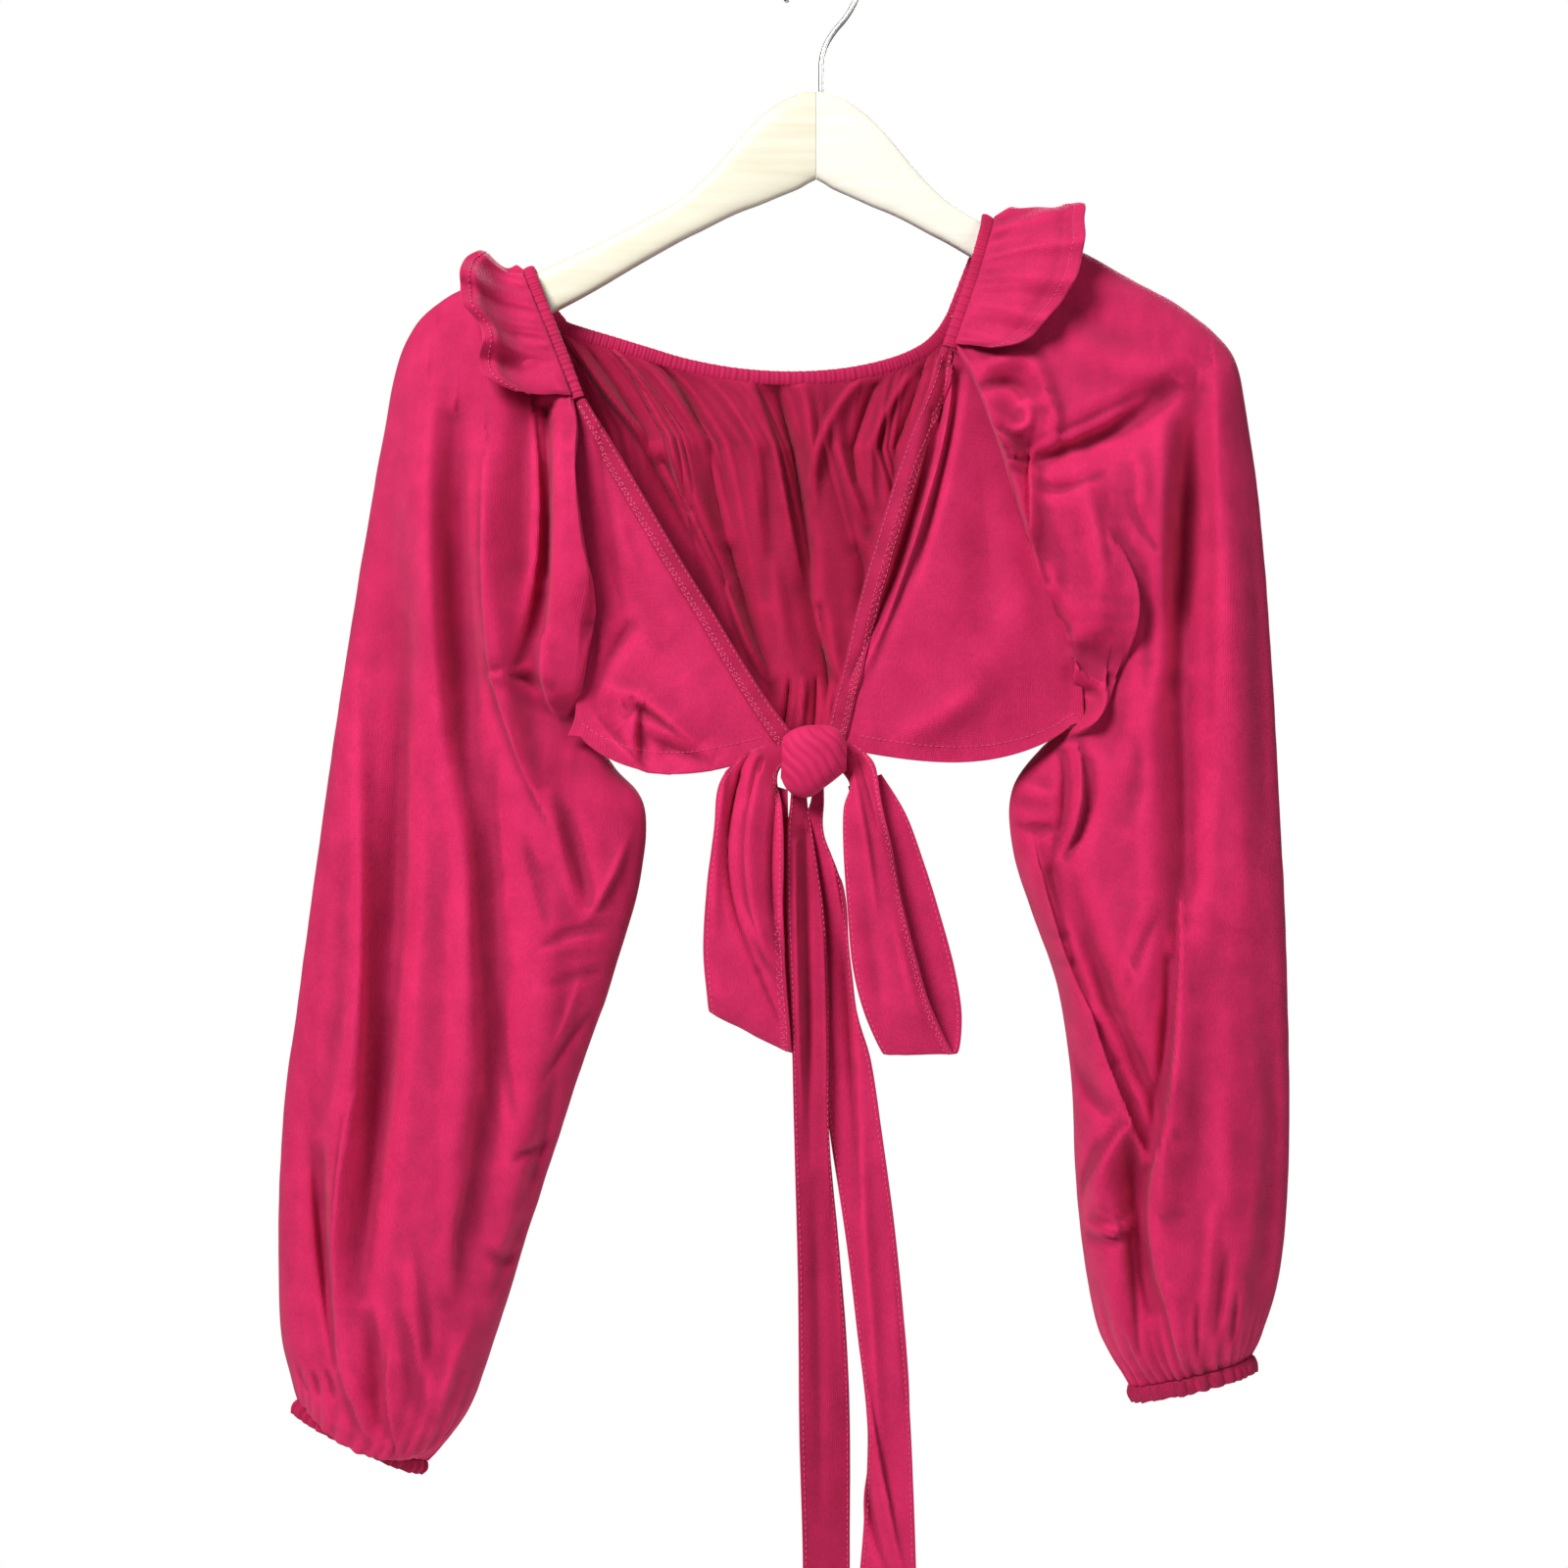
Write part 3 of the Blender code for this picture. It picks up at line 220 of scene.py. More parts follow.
RIGHT_SLEEVE_BACK_FOLDS = (
    (92, -262, 108, -320, 126, -380, 12, 11, 0.0, 0.6),
    (140, -290, 150, -360, 156, -430, 11, -11, 0.2, 0.5),
    (222, -260, 212, -380, 206, -560, 13, -9, 0.2, 0.2),
    (184, -320, 182, -430, 176, -540, 14, 8, 0.0, 0.1),
    (240, -360, 246, -480, 250, -620, 13, 7, 0.0, 0.0),
    (140, -560, 168, -660, 196, -790, 12, -8, 0.2, 0.0),
    (215, -600, 222, -710, 222, -825, 14, 8, 0.0, 0.0),
    (176, -640, 184, -730, 200, -830, 11, 7, 0.0, 0.0),
)

# Front panels from the casing (first) to the hem (last):
# side x, z, y; front edge x, z, y; sag of the row, swell toward the viewer.
LEFT_FRONT = (
    (-150, -270.5, -22.5, -137.6, -267, -26, 0, 0),
    (-146, -290, -23.5, -124, -289, -28, 0, 1),
    (-144, -312, -23.5, -110, -312, -28, 0, 2),
    (-141, -338, -23.5, -95, -338, -28, 0, 3),
    (-136, -364, -23.5, -78, -367, -28, 1, 4),
    (-132, -388, -23.5, -62, -393, -29, 2, 5),
    (-132, -413, -22.5, -47, -418, -31, 4, 6),
    (-136, -434, -20.0, -33, -440, -33, 7, 6),
    (-137, -452, -20.0, -22, -455, -34.6, 13, 3),
    (-140, -463, -23.0, -12, -468, -35.0, 20, 3),
)
RIGHT_FRONT = (
    (84, -241.5, -22.0, 69.7, -237, -26, 0, 0),
    (93, -262, -23.5, 62, -261, -28, 0, 1),
    (102, -292, -23.5, 49, -295, -28, 0, 2),
    (112, -322, -23.5, 39, -325, -28, 1, 3),
    (120, -356, -23.0, 29, -358, -28, 2, 4),
    (132, -388, -22.5, 20, -390, -29, 3, 5),
    (141, -414, -20.5, 13.5, -418, -31, 6, 6),
    (144, -434, -18.0, 8, -438, -33, 9, 6),
    (144.5, -447, -18.0, 4, -455, -34.8, 14, 5),
    (145, -456, -21.0, 0, -468, -35.4, 17, 4),
)
LEFT_FRONT_FOLDS = (
    (-120, -300, -104, -370, -70, -440, 9, -3, 0.2, 0.4),
    (-140, -300, -122, -390, -112, -470, 12, -4, 0.0, 0.2),
    (-112, -452, -100, -458, -62, -474, 8, 6, 0.4, 0.3),
    (-100, -440, -92, -466, -86, -484, 9, -5, 0.0, 0.0),
)
RIGHT_FRONT_FOLDS = (
    (74, -255, 54, -340, 22, -440, 8, -5, 0.3, 0.6),
    (66, -255, 44, -340, 17, -440, 6, 4, 0.0, 0.6),
    (120, -360, 90, -430, 40, -472, 16, 4, 0.0, 0.0),
    (92, -300, 96, -380, 110, -450, 13, -3, 0.0, 0.2),
)

# Back panel from the casing to the hem: left x, z, y; right x, z, y;
# dip of the row in its middle, belly away from the viewer.
BACK_PANEL = (
    (-152.5, -225, 17.5, 75, -226, 17.5, 25, 2),
    (-148.2, -245, 20.0, 82, -256, 20.0, 13, 3),
    (-141.2, -277, 21.5, 90.6, -288, 21.5, 6, 4),
    (-135.8, -308, 22.3, 99.8, -318, 22.3, 4, 4),
    (-132.8, -338, 22.3, 109.8, -348, 22.3, 3, 3),
    (-130.8, -368, 22.3, 120.8, -378, 21.3, 2, 1),
    (-130.8, -400, 20.3, 132.6, -405, 19.0, 0, -4),
    (-134.6, -428, 14.3, 141.4, -430, 13.0, 2, -8),
    (-137.0, -456, 5.5, 144.2, -453, 5.5, 10, -9),
)
BACK_GATHERS = 18
BACK_FOLDS = (
    (-88, -290, -58, -370, -30, -445, 9, 7, 0.2, 0.5),
    (-66, -255, -54, -350, -24, -445, 8, -6, 0.0, 0.6),
    (-36, -255, -34, -330, -12, -448, 8, 6, 0.2, 0.6),
    (-24, -255, -8, -350, 4, -445, 7, -7, 0.0, 0.6),
    (44, -255, 40, -340, 14, -445, 9, 6, -0.2, 0.6),
    (62, -260, 56, -350, 20, -445, 9, -6, 0.0, 0.4),
)

# Neck casing paths: x, z, y, and the outward direction there in x, y and z.
LEFT_CASING = (
    (-142, -267, -27, 0.0, -1.0, 0.0),
    (-150, -246, -24, 0.0, -1.0, 0.1),
    (-158, -226, -19.5, 0.0, -1.0, 0.2),
    (-166, -206, -14, -0.1, -1.0, 0.35),
    (-171, -193.5, -9.5, -0.3, -0.8, 0.6),
    (-173, -187.8, 0, -0.45, 0.0, 0.9),
    (-170, -193, 9.5, -0.3, 0.8, 0.6),
    (-163, -207, 13.5, -0.1, 1.0, 0.35),
    (-155, -217, 16, 0.0, 1.0, 0.2),
)
RIGHT_CASING = (
    (74, -237, -27, 0.0, -1.0, 0.0),
    (81, -217, -23.5, 0.0, -1.0, 0.1),
    (88, -197, -19, 0.0, -1.0, 0.2),
    (93, -180, -14, 0.1, -1.0, 0.35),
    (97, -165, -10.2, 0.3, -0.8, 0.6),
    (98.5, -157.4, 0, 0.5, 0.0, 0.87),
    (97, -166, 10.2, 0.3, 0.8, 0.6),
    (90, -184, 13.5, 0.1, 1.0, 0.35),
    (79, -212, 16.5, 0.0, 1.0, 0.2),
)
BACK_CASING = (
    (-161.0, -213.0, 14.0, 0.0, 1.0, 0.1),
    (-153.4, -218.8, 16.5, 0.0, 1.0, 0.1),
    (-143, -222.5, 17.6, 0.0, 1.0, 0.1),
    (-124, -228, 19, 0.0, 1.0, 0.1),
    (-104, -234, 20, 0.0, 1.0, 0.1),
    (-80, -241, 20.5, 0.0, 1.0, 0.1),
    (-50, -246.5, 20.5, 0.0, 1.0, 0.1),
    (-18, -248.5, 20.5, 0.0, 1.0, 0.1),
    (14, -246.5, 20.5, 0.0, 1.0, 0.1),
    (42, -240.5, 20.5, 0.0, 1.0, 0.1),
    (61, -232.5, 19.5, 0.0, 1.0, 0.1),
    (72, -223, 17.8, 0.0, 1.0, 0.1),
    (78.7, -212.6, 16.6, 0.0, 1.0, 0.1),
)

# Ruffles: place along the casing (0 front, 1 back); free edge x, z, y.
# Each row is half a wave.
LEFT_RUFFLE = (
    (0.02, -176, -266, -42),
    (0.06, -192, -259, -49),
    (0.11, -197, -248, -42),
    (0.156, -194, -237, -50),
    (0.206, -197, -227, -42),
    (0.25, -206, -216, -48),
    (0.30, -208, -205, -38),
    (0.35, -208, -196, -40),
    (0.425, -206, -186, -26),
    (0.51, -200, -181, -18),
    (0.60, -199, -179, -4),
    (0.675, -206, -184, 12),
    (0.775, -208, -200, 32),
    (0.875, -203, -214, 36),
    (0.96, -196, -228, 42),
)
RIGHT_RUFFLE = (
    (0.02, 98, -240, -41),
    (0.06, 111, -239, -49),
    (0.11, 121, -233, -43),
    (0.156, 129, -224, -50),
    (0.206, 138, -213, -43),
    (0.25, 145, -201, -50),
    (0.30, 149, -188, -40),
    (0.35, 151, -176, -42),
    (0.425, 152, -163, -28),
    (0.51, 153, -153, -20),
    (0.60, 146, -151, -4),
    (0.675, 148, -160, 14),
    (0.775, 146, -176, 34),
    (0.875, 136, -196, 38),
    (0.96, 122, -214, 44),
)

# Bow loops along the tie: left edge x, z; right edge x, z; y.
LEFT_LOOP = (
    (-31, -468, -12, -472, -37.1),
    (-37, -470, -22, -479, -37.6),
    (-47, -475, -26, -488, -44.5),
    (-59, -491, -23, -506, -54),
    (-62, -518, -22, -532, -57),
    (-66, -550, -22.5, -562, -56),
    (-68, -584, -21, -598, -55.5),
    (-66, -610, -18.5, -630, -54),
    (-64.5, -621, -17.5, -645, -48.5),
    (-62, -613, -17, -634, -42),
    (-58, -580, -18, -590, -41),
    (-54, -545, -18.5, -550, -41),
    (-47, -508, -19.5, -515, -41),
    (-38, -489, -20, -494, -39),
)
RIGHT_LOOP = (
    (3, -475, 13, -466, -37.1),
    (10, -482, 22, -470, -37.8),
    (15.5, -492, 30, -481, -45.5),
    (12, -506, 34, -504, -54),
    (12, -530, 40, -530, -56),
    (14, -560, 46, -560, -56),
    (17, -594, 54, -592, -56),
    (24, -622, 62, -618, -55.5),
    (35, -645, 76, -645, -49),
    (34, -628, 80, -625, -42.5),
    (29, -600, 76, -597, -41.5),
    (25, -570, 68, -567, -41),
    (22, -542, 59, -538, -41),
    (19, -512, 48, -508, -41),
    (15, -492, 34, -485, -39),
)

# Tails: z; left x; right x; y; twist of the right edge toward the viewer.
LEFT_TAIL = (
    (-483, -17, -9, -38.2, 0),
    (-502, -18, -8.5, -38.5, 0),
    (-522, -20, -5, -45, 2),
    (-565, -20, 1, -46, 3),
    (-615, -18, 4, -45, -2),
    (-690, -16, 4, -44, 3),
    (-760, -14, 10, -44, -3),
    (-812, -13.5, 14, -44, 3),
    (-863, -13, 16, -44, -2),
    (-930, -11, 16, -44, 3),
    (-985, -11, 16, -44, 0),
)
RIGHT_TAIL = (
    (-482, -6, 1, -37.8, 0),
    (-500, -6.5, 1, -37.6, 0),
    (-520, -13, 1, -36, 2),
    (-552, -11, 12, -36, 3),
    (-616, -5, 19, -36, -2),
    (-650, 0, 28, -36, 2),
    (-690, 4, 34, -37, 3),
    (-748, 13, 42, -37, -3),
    (-805, 20, 47, -37, 2),
    (-861, 26, 51, -38, -3),
    (-916, 24, 53, -38, 4),
    (-955, 21, 54, -38, 4),
    (-990, 21, 54, -38, 0),
)

# Knot sections along x: top z, bottom z, half depth.
KNOT = (
    (-23.5, -464, -487, 5.5),
    (-19, -460, -494, 9.5),
    (-12, -457.5, -498, 11.5),
    (-5, -457, -498, 12.0),
    (2, -457.5, -493, 11.5),
    (8, -460, -488, 9.5),
    (13.5, -467, -483, 5.0),
)
KNOT_Y = -49.9

# Hanger half sections: distance from the joint, top z, bottom z.
HANGER = (
    (0.0, -82.8, -134),
    (5.0, -83.0, -136.5),
    (10.0, -84.2, -139.5),
    (21.0, -89.0, -144),
    (33.0, -98.0, -149),
    (44.0, -109.5, -153),
    (54.0, -121.5, -157.5),
    (66.0, -134.5, -163.6),
    (80.0, -146.5, -170.5),
    (105.7, -161.0, -185),
    (134.6, -175.5, -202),
    (164.6, -189.7, -217.5),
    (189.0, -201.0, -228),
    (207.0, -209.5, -233),
    (216.0, -215.5, -232),
    (220.0, -220.0, -228),
)

# Finer folds of the same kind. Their three points are pixels of the photograph, which
# photo_folds turns to millimetres. The two last columns are how far the crest leans
# over to the viewer's right when followed down, and its form: sharper under 2.
LEFT_SLEEVE_FINE = (
    (442, 340, 444, 560, 462, 800, 12, 6, 0.2, 0.2, 0, 2),
    (462, 900, 482, 1060, 462, 1250, 11, 6, 0.3, 0.1, 2, 1.7),
    (416, 560, 408, 800, 400, 1020, 8, -8, 0.1, 0, 0, 2),
    (400, 1000, 384, 1160, 366, 1330, 9, -8, 0.2, 0.2, 0, 2),
    (360, 700, 366, 960, 362, 1140, 9, 7, 0.4, 0, 2, 1.6),
    (362, 1120, 348, 1240, 346, 1400, 6, 9, -0.75, 0.3, -3, 1.4),
    (330, 1160, 328, 1270, 344, 1400, 6, -8, 0.3, 0, 0, 1.8),
    (312, 1180, 318, 1290, 338, 1400, 4, 4, 0.5, 0.1, 2, 1.6),
    (400, 1370, 402, 1420, 408, 1490, 5, 7, -0.8, 0.3, -3, 1.4),
    (380, 1330, 386, 1400, 392, 1470, 6, -7, 0.3, 0.1, 0, 2),
    (472, 420, 476, 560, 486, 740, 6, -5, 0, 0.1, 0, 1.8),
    (497, 470, 498, 590, 504, 700, 6, 6, -0.75, 0.1, -2, 1.5),
    (504, 690, 528, 760, 566, 850, 7, 6, -0.75, 0.5, -2, 1.5),
    (540, 420, 545, 560, 520, 684, 6, 8, 0.7, 0.5, 2, 1.7),
    (555, 412, 559, 540, 549, 655, 4, -12, 0, 0.7, 0, 1.7),
    (596, 420, 612, 560, 622, 632, 6, 8, 0.8, 0.7, 2, 1.6),
    (566, 440, 568, 560, 556, 660, 4, 5, -0.7, 0.6, -1, 1.6),
    (622, 632, 600, 680, 575, 735, 6, 8, 0.7, 0.6, 2, 1.5),
    (556, 650, 556, 700, 572, 735, 4, 6, -0.6, 0.6, -1, 1.5),
    (508, 686, 536, 692, 560, 712, 3.5, -5, -0.3, 0.7, 0, 1.6),
    (506, 690, 520, 686, 544, 680, 3, 4, 0, 0.5, 0, 1.6),
    (500, 760, 503, 880, 503, 1000, 7, -5, 0.3, 0.1, 0, 2),
    (470, 800, 478, 900, 480, 1000, 7, 4, 0.5, 0.1, 1, 1.6),
    (560, 800, 570, 860, 590, 930, 6, 5, 0.5, 0.1, 1.5, 1.6),
    (575, 820, 590, 880, 600, 935, 4, -5, -0.3, 0.1, 0, 1.6),
    (642, 850, 620, 900, 596, 940, 4, 4, 0.3, 0.3, 1, 1.5),
    (536, 860, 548, 900, 556, 950, 4, -2.5, 0, 0.2, 0, 1.6),
    (548, 966, 584, 952, 624, 944, 2.5, -2.5, 0, 0.3, 0, 1.5),
    (556, 974, 590, 962, 622, 966, 2.5, 2.2, 0, 0.3, 0, 1.5),
    (556, 1004, 590, 996, 620, 988, 2.5, -2, 0, 0.3, 0, 1.5),
    (590, 1000, 578, 1040, 556, 1090, 3, 2.5, 0, 0.3, 0, 1.5),
    (610, 1030, 580, 1060, 550, 1110, 3, -2.5, 0, 0.3, 0, 1.5),
    (508, 1010, 514, 1070, 526, 1150, 4, -3, 0, 0.2, 0, 1.6),
    (496, 1030, 490, 1090, 500, 1160, 4, 3, 0, 0.2, 0, 1.6),
    (560, 1110, 548, 1180, 530, 1240, 5, -6, -0.3, 0.3, 0, 1.7),
    (556, 1170, 540, 1176, 520, 1184, 3, -4, 0, 0.4, 0, 1.5),
    (540, 1230, 520, 1280, 500, 1330, 5, -5, -0.3, 0.3, 0, 1.7),
    (500, 1282, 516, 1290, 534, 1286, 3, -3.5, 0, 0.3, 0, 1.5),
    (478, 1180, 464, 1250, 460, 1330, 5, 4, 0.4, 0.1, 1, 1.7),
    (420, 1280, 426, 1350, 438, 1430, 6, 5, 0.3, 0.1, 1, 1.7),
    (410, 1340, 420, 1380, 422, 1440, 4, -4, 0, 0.1, 0, 1.7),
    (440, 1330, 434, 1390, 428, 1450, 4, -3, 0, 0.1, 0, 1.7),
    (480, 1350, 462, 1400, 446, 1450, 5, 4, 0.2, 0.1, 0, 1.7),
    (346, 1380, 364, 1430, 386, 1470, 5, 5, -0.5, 0.1, 0, 1.6),
    (302, 1400, 306, 1412, 312, 1424, 2, -3, 0, 0.5, 0, 1.6),
    (318, 1404, 322, 1414, 324, 1428, 2, -3, 0, 0.5, 0, 1.6),
    (334, 1402, 338, 1414, 340, 1428, 2, -3, 0, 0.5, 0, 1.6),
    (350, 800, 346, 1000, 324, 1160, 7, -4, 0, 0.1, 0, 2),
)
RIGHT_SLEEVE_FINE = (
    (1076, 300, 1120, 335, 1180, 352, 8, -3.5, 0, 0.2, 0, 2),
    (1070, 330, 1130, 372, 1200, 376, 9, 3, 0, 0.2, 0, 2),
    (1057, 470, 1110, 450, 1165, 426, 6.5, -7.2, -0.2, 0.9, 0, 1.6),
    (1165, 426, 1186, 412, 1204, 388, 6.5, -5.3, -0.2, 0.7, 0, 1.7),
    (1060, 455, 1110, 436, 1176, 400, 6, 6, 0.6, 0.6, -2, 1.7),
    (1010, 372, 1050, 370, 1070, 420, 6, 7, 0.2, 0.6, 0, 1.8),
    (1070, 412, 1074, 446, 1054, 470, 5, 6, 0.3, 0.7, 0, 1.7),
    (1006, 394, 1034, 392, 1046, 414, 4, -5, 0, 0.5, 0, 1.7),
    (1046, 414, 1046, 436, 1022, 438, 3, 5, 0, 0.7, 0, 1.6),
    (1014, 440, 1034, 446, 1048, 470, 3.5, -5, 0, 0.6, 0, 1.6),
    (984, 404, 1014, 440, 1052, 478, 5, 7, -0.5, 0.6, -1.5, 1.6),
    (1022, 476, 1036, 474, 1050, 478, 3, 4, 0, 0.6, 0, 1.6),
    (1026, 486, 1030, 520, 1042, 560, 5, -6, 0, 0.5, 0, 1.7),
    (984, 420, 1004, 470, 1018, 530, 4, 5, -0.5, 0.6, -1, 1.6),
    (1018, 530, 1026, 556, 1042, 584, 4, 5, -0.3, 0.6, 0, 1.6),
    (1053, 478, 1053, 560, 1045, 640, 5, 10, -0.8, 0.9, -3, 1.5),
    (1036, 560, 1032, 590, 1036, 622, 5, -9, 0, 0.7, 0, 1.7),
    (1046, 642, 1086, 676, 1126, 700, 6, 9, 0.75, 0.9, 3, 1.5),
    (1126, 700, 1114, 730, 1086, 752, 6, 8, 0.6, 0.9, 2, 1.5),
    (1062, 660, 1080, 684, 1096, 712, 5, -9, 0, 0.7, 0, 1.7),
    (1100, 700, 1110, 704, 1120, 702, 2.5, -4, 0, 0.6, 0, 1.6),
    (1138, 560, 1156, 620, 1138, 690, 7, 9, 0.75, 0.3, 3, 1.6),
    (1138, 690, 1122, 724, 1096, 752, 5, 6, 0.7, 0.8, 2, 1.6),
    (1164, 570, 1172, 650, 1160, 740, 7, -7, 0, 0.3, 0, 1.8),
    (1158, 740, 1160, 790, 1150, 850, 8, -5, 0, 0.3, 0, 1.8),
    (1074, 540, 1084, 580, 1082, 630, 5, -3, 0, 0.3, 0, 1.8),
    (1108, 500, 1120, 560, 1124, 610, 5, 3, 0, 0.3, 0, 1.8),
    (1116, 520, 1124, 556, 1128, 590, 3, -3, 0, 0.3, 0, 1.7),
    (1066, 480, 1080, 500, 1130, 480, 4, -4, 0, 0.5, 0, 1.8),
    (1064, 640, 1090, 650, 1130, 640, 5, 3, 0, 0.3, 0, 1.8),
    (1150, 506, 1162, 540, 1182, 566, 2.5, -2.5, 0, 0.4, 0, 1.6),
    (1156, 470, 1162, 500, 1160, 540, 4, 3, 0, 0.3, 0, 1.8),
    (1184, 390, 1186, 520, 1190, 700, 9, 6, -0.2, 0.3, 0, 2),
    (1222, 400, 1214, 560, 1210, 720, 8, -9, 0.2, 0.4, 0, 1.9),
    (1210, 700, 1216, 860, 1208, 960, 8, -8, 0.2, 0.5, 0, 1.9),
    (1240, 380, 1246, 600, 1240, 860, 9, 6, -0.4, 0.3, -1, 1.8),
    (1278, 480, 1290, 680, 1300, 900, 6, -3, 0, 0.1, 0, 2),
    (1206, 930, 1200, 1060, 1182, 1180, 5, 8, -0.85, 0.7, -3, 1.4),
    (1182, 1170, 1176, 1250, 1190, 1330, 5, 8, -0.8, 0.9, -3, 1.4),
    (1190, 1320, 1200, 1360, 1212, 1400, 4, 6, -0.7, 0.8, -2, 1.5),
    (1192, 980, 1188, 1080, 1172, 1180, 4, -7, 0, 0.5, 0, 1.7),
    (1172, 1200, 1168, 1280, 1180, 1350, 5, -7, 0, 0.8, 0, 1.7),
    (1184, 800, 1168, 960, 1150, 1080, 11, 6, 0, 0.1, 0, 2),
    (1180, 930, 1162, 970, 1150, 1020, 4, -3, 0, 0.3, 0, 1.7),
    (1124, 1020, 1140, 1036, 1160, 1030, 2.5, -2, 0, 0.3, 0, 1.6),
    (1148, 980, 1156, 1000, 1150, 1030, 3, 2.5, 0, 0.3, 0, 1.6),
    (1036, 840, 1060, 846, 1088, 842, 3, -3.5, 0, 0.4, 0, 1.6),
    (1040, 800, 1060, 810, 1084, 812, 4, 3, 0, 0.4, 0, 1.7),
    (1088, 770, 1088, 830, 1074, 884, 3.5, -7, 0, 0.6, 0, 1.5),
    (1102, 770, 1100, 830, 1080, 880, 3.5, 6, 0.6, 0.6, 1, 1.6),
    (1112, 780, 1110, 830, 1088, 880, 4, -6, 0, 0.4, 0, 1.7),
    (1076, 890, 1092, 960, 1122, 1050, 4, -7, 0, 0.7, 0, 1.6),
    (1062, 890, 1080, 960, 1112, 1040, 7, 7, 0.8, 0.5, 2, 1.6),
    (1122, 1050, 1150, 1110, 1180, 1180, 4, -6, 0, 0.9, 0, 1.6),
    (1112, 1040, 1140, 1120, 1174, 1186, 6, 8, 0.8, 0.8, 2.5, 1.5),
    (1066, 952, 1080, 956, 1096, 954, 2, -3, 0, 0.4, 0, 1.5),
    (1074, 982, 1090, 984, 1102, 982, 2, -3.5, 0, 0.4, 0, 1.5),
    (1122, 1088, 1134, 1090, 1144, 1082, 2, -3.5, 0, 0.4, 0, 1.5),
    (1098, 1070, 1110, 1110, 1132, 1140, 5, -7, 0, 0.4, 0, 1.7),
    (1146, 1150, 1120, 1200, 1106, 1252, 5, 8, -0.7, 0.6, -2, 1.5),
    (1106, 1254, 1134, 1256, 1160, 1246, 3, 6, 0.6, 0.6, 1, 1.5),
    (1150, 1160, 1160, 1200, 1160, 1244, 4, -5, 0, 0.4, 0, 1.7),
    (1120, 1170, 1108, 1210, 1100, 1250, 4, -6, 0, 0.5, 0, 1.7),
    (1108, 1262, 1130, 1266, 1162, 1256, 3, -6, 0, 0.6, 0, 1.6),
    (1154, 1264, 1160, 1320, 1164, 1390, 2.5, -4, 0, 0.6, 0, 1.6),
    (1130, 1290, 1140, 1340, 1158, 1390, 5, 3, 0, 0.2, 0, 1.8),
    (1250, 1080, 1262, 1200, 1256, 1320, 8, -4, 0, 0.1, 0, 2),
    (1282, 1060, 1290, 1180, 1276, 1300, 7, 4, 0, 0.1, 0, 2),
    (1250, 1270, 1246, 1320, 1240, 1370, 3, -4, 0, 0.1, 0, 1.7),
    (1236, 1220, 1232, 1290, 1226, 1370, 4, 4, 0, 0.1, 0, 1.7),
    (1222, 1330, 1222, 1360, 1224, 1392, 2, -3.5, 0, 0.3, 0, 1.6),
    (1262, 1320, 1260, 1350, 1258, 1376, 2, -3.5, 0, 0.3, 0, 1.6),
)
LEFT_FRONT_FINE = (
    (612, 440, 624, 540, 642, 640, 5, -4, -0.2, 0.5, 0, 1.7),
    (642, 640, 616, 680, 604, 726, 5, -6, 0, 0.6, 0, 1.7),
    (604, 700, 608, 730, 640, 764, 4, -5, 0, 0.5, 0, 1.7),
    (656, 724, 654, 750, 658, 790, 4, -6, -0.4, 0.5, 0, 1.7),
    (600, 690, 628, 706, 652, 716, 6, 4, 0.2, 0.2, 0, 1.8),
    (652, 714, 676, 730, 712, 760, 4, 6, -0.4, 0.7, -1, 1.6),
    (664, 752, 690, 766, 730, 780, 4, -4, 0, 0.4, 0, 1.7),
    (624, 716, 634, 744, 648, 780, 6, 3.5, 0, 0.2, 0, 1.8),
    (596, 716, 622, 752, 664, 792, 4, 4, 0.6, 0.4, 1, 1.6),
    (616, 470, 640, 560, 690, 650, 7, 3, 0, 0.2, 0, 1.8),
    (650, 600, 672, 650, 700, 690, 7, -2.5, 0, 0.2, 0, 1.8),
    (626, 500, 634, 560, 650, 610, 5, 2, 0, 0.2, 0, 1.8),
)
RIGHT_FRONT_FINE = (
    (966, 372, 938, 520, 872, 700, 3, -6, 0.3, 0.6, 0, 1.6),
    (972, 380, 950, 500, 884, 690, 2.5, 5, 0.5, 0.6, 0, 1.6),
    (980, 380, 962, 480, 926, 610, 3, -5, 0, 0.7, 0, 1.7),
    (958, 430, 930, 560, 866, 716, 2.2, 4, 0.4, 0.5, 0, 1.6),
    (950, 420, 920, 560, 858, 712, 2.2, -4, 0.3, 0.5, 0, 1.6),
    (1000, 480, 1010, 570, 1001, 675, 13, -2, 0, 0.1, 0, 2),
    (1000, 700, 960, 730, 900, 760, 8, 3, 0, 0.2, 0, 2),
    (1056, 560, 1066, 620, 1080, 690, 7, -4, 0, 0.3, 0, 1.8),
)
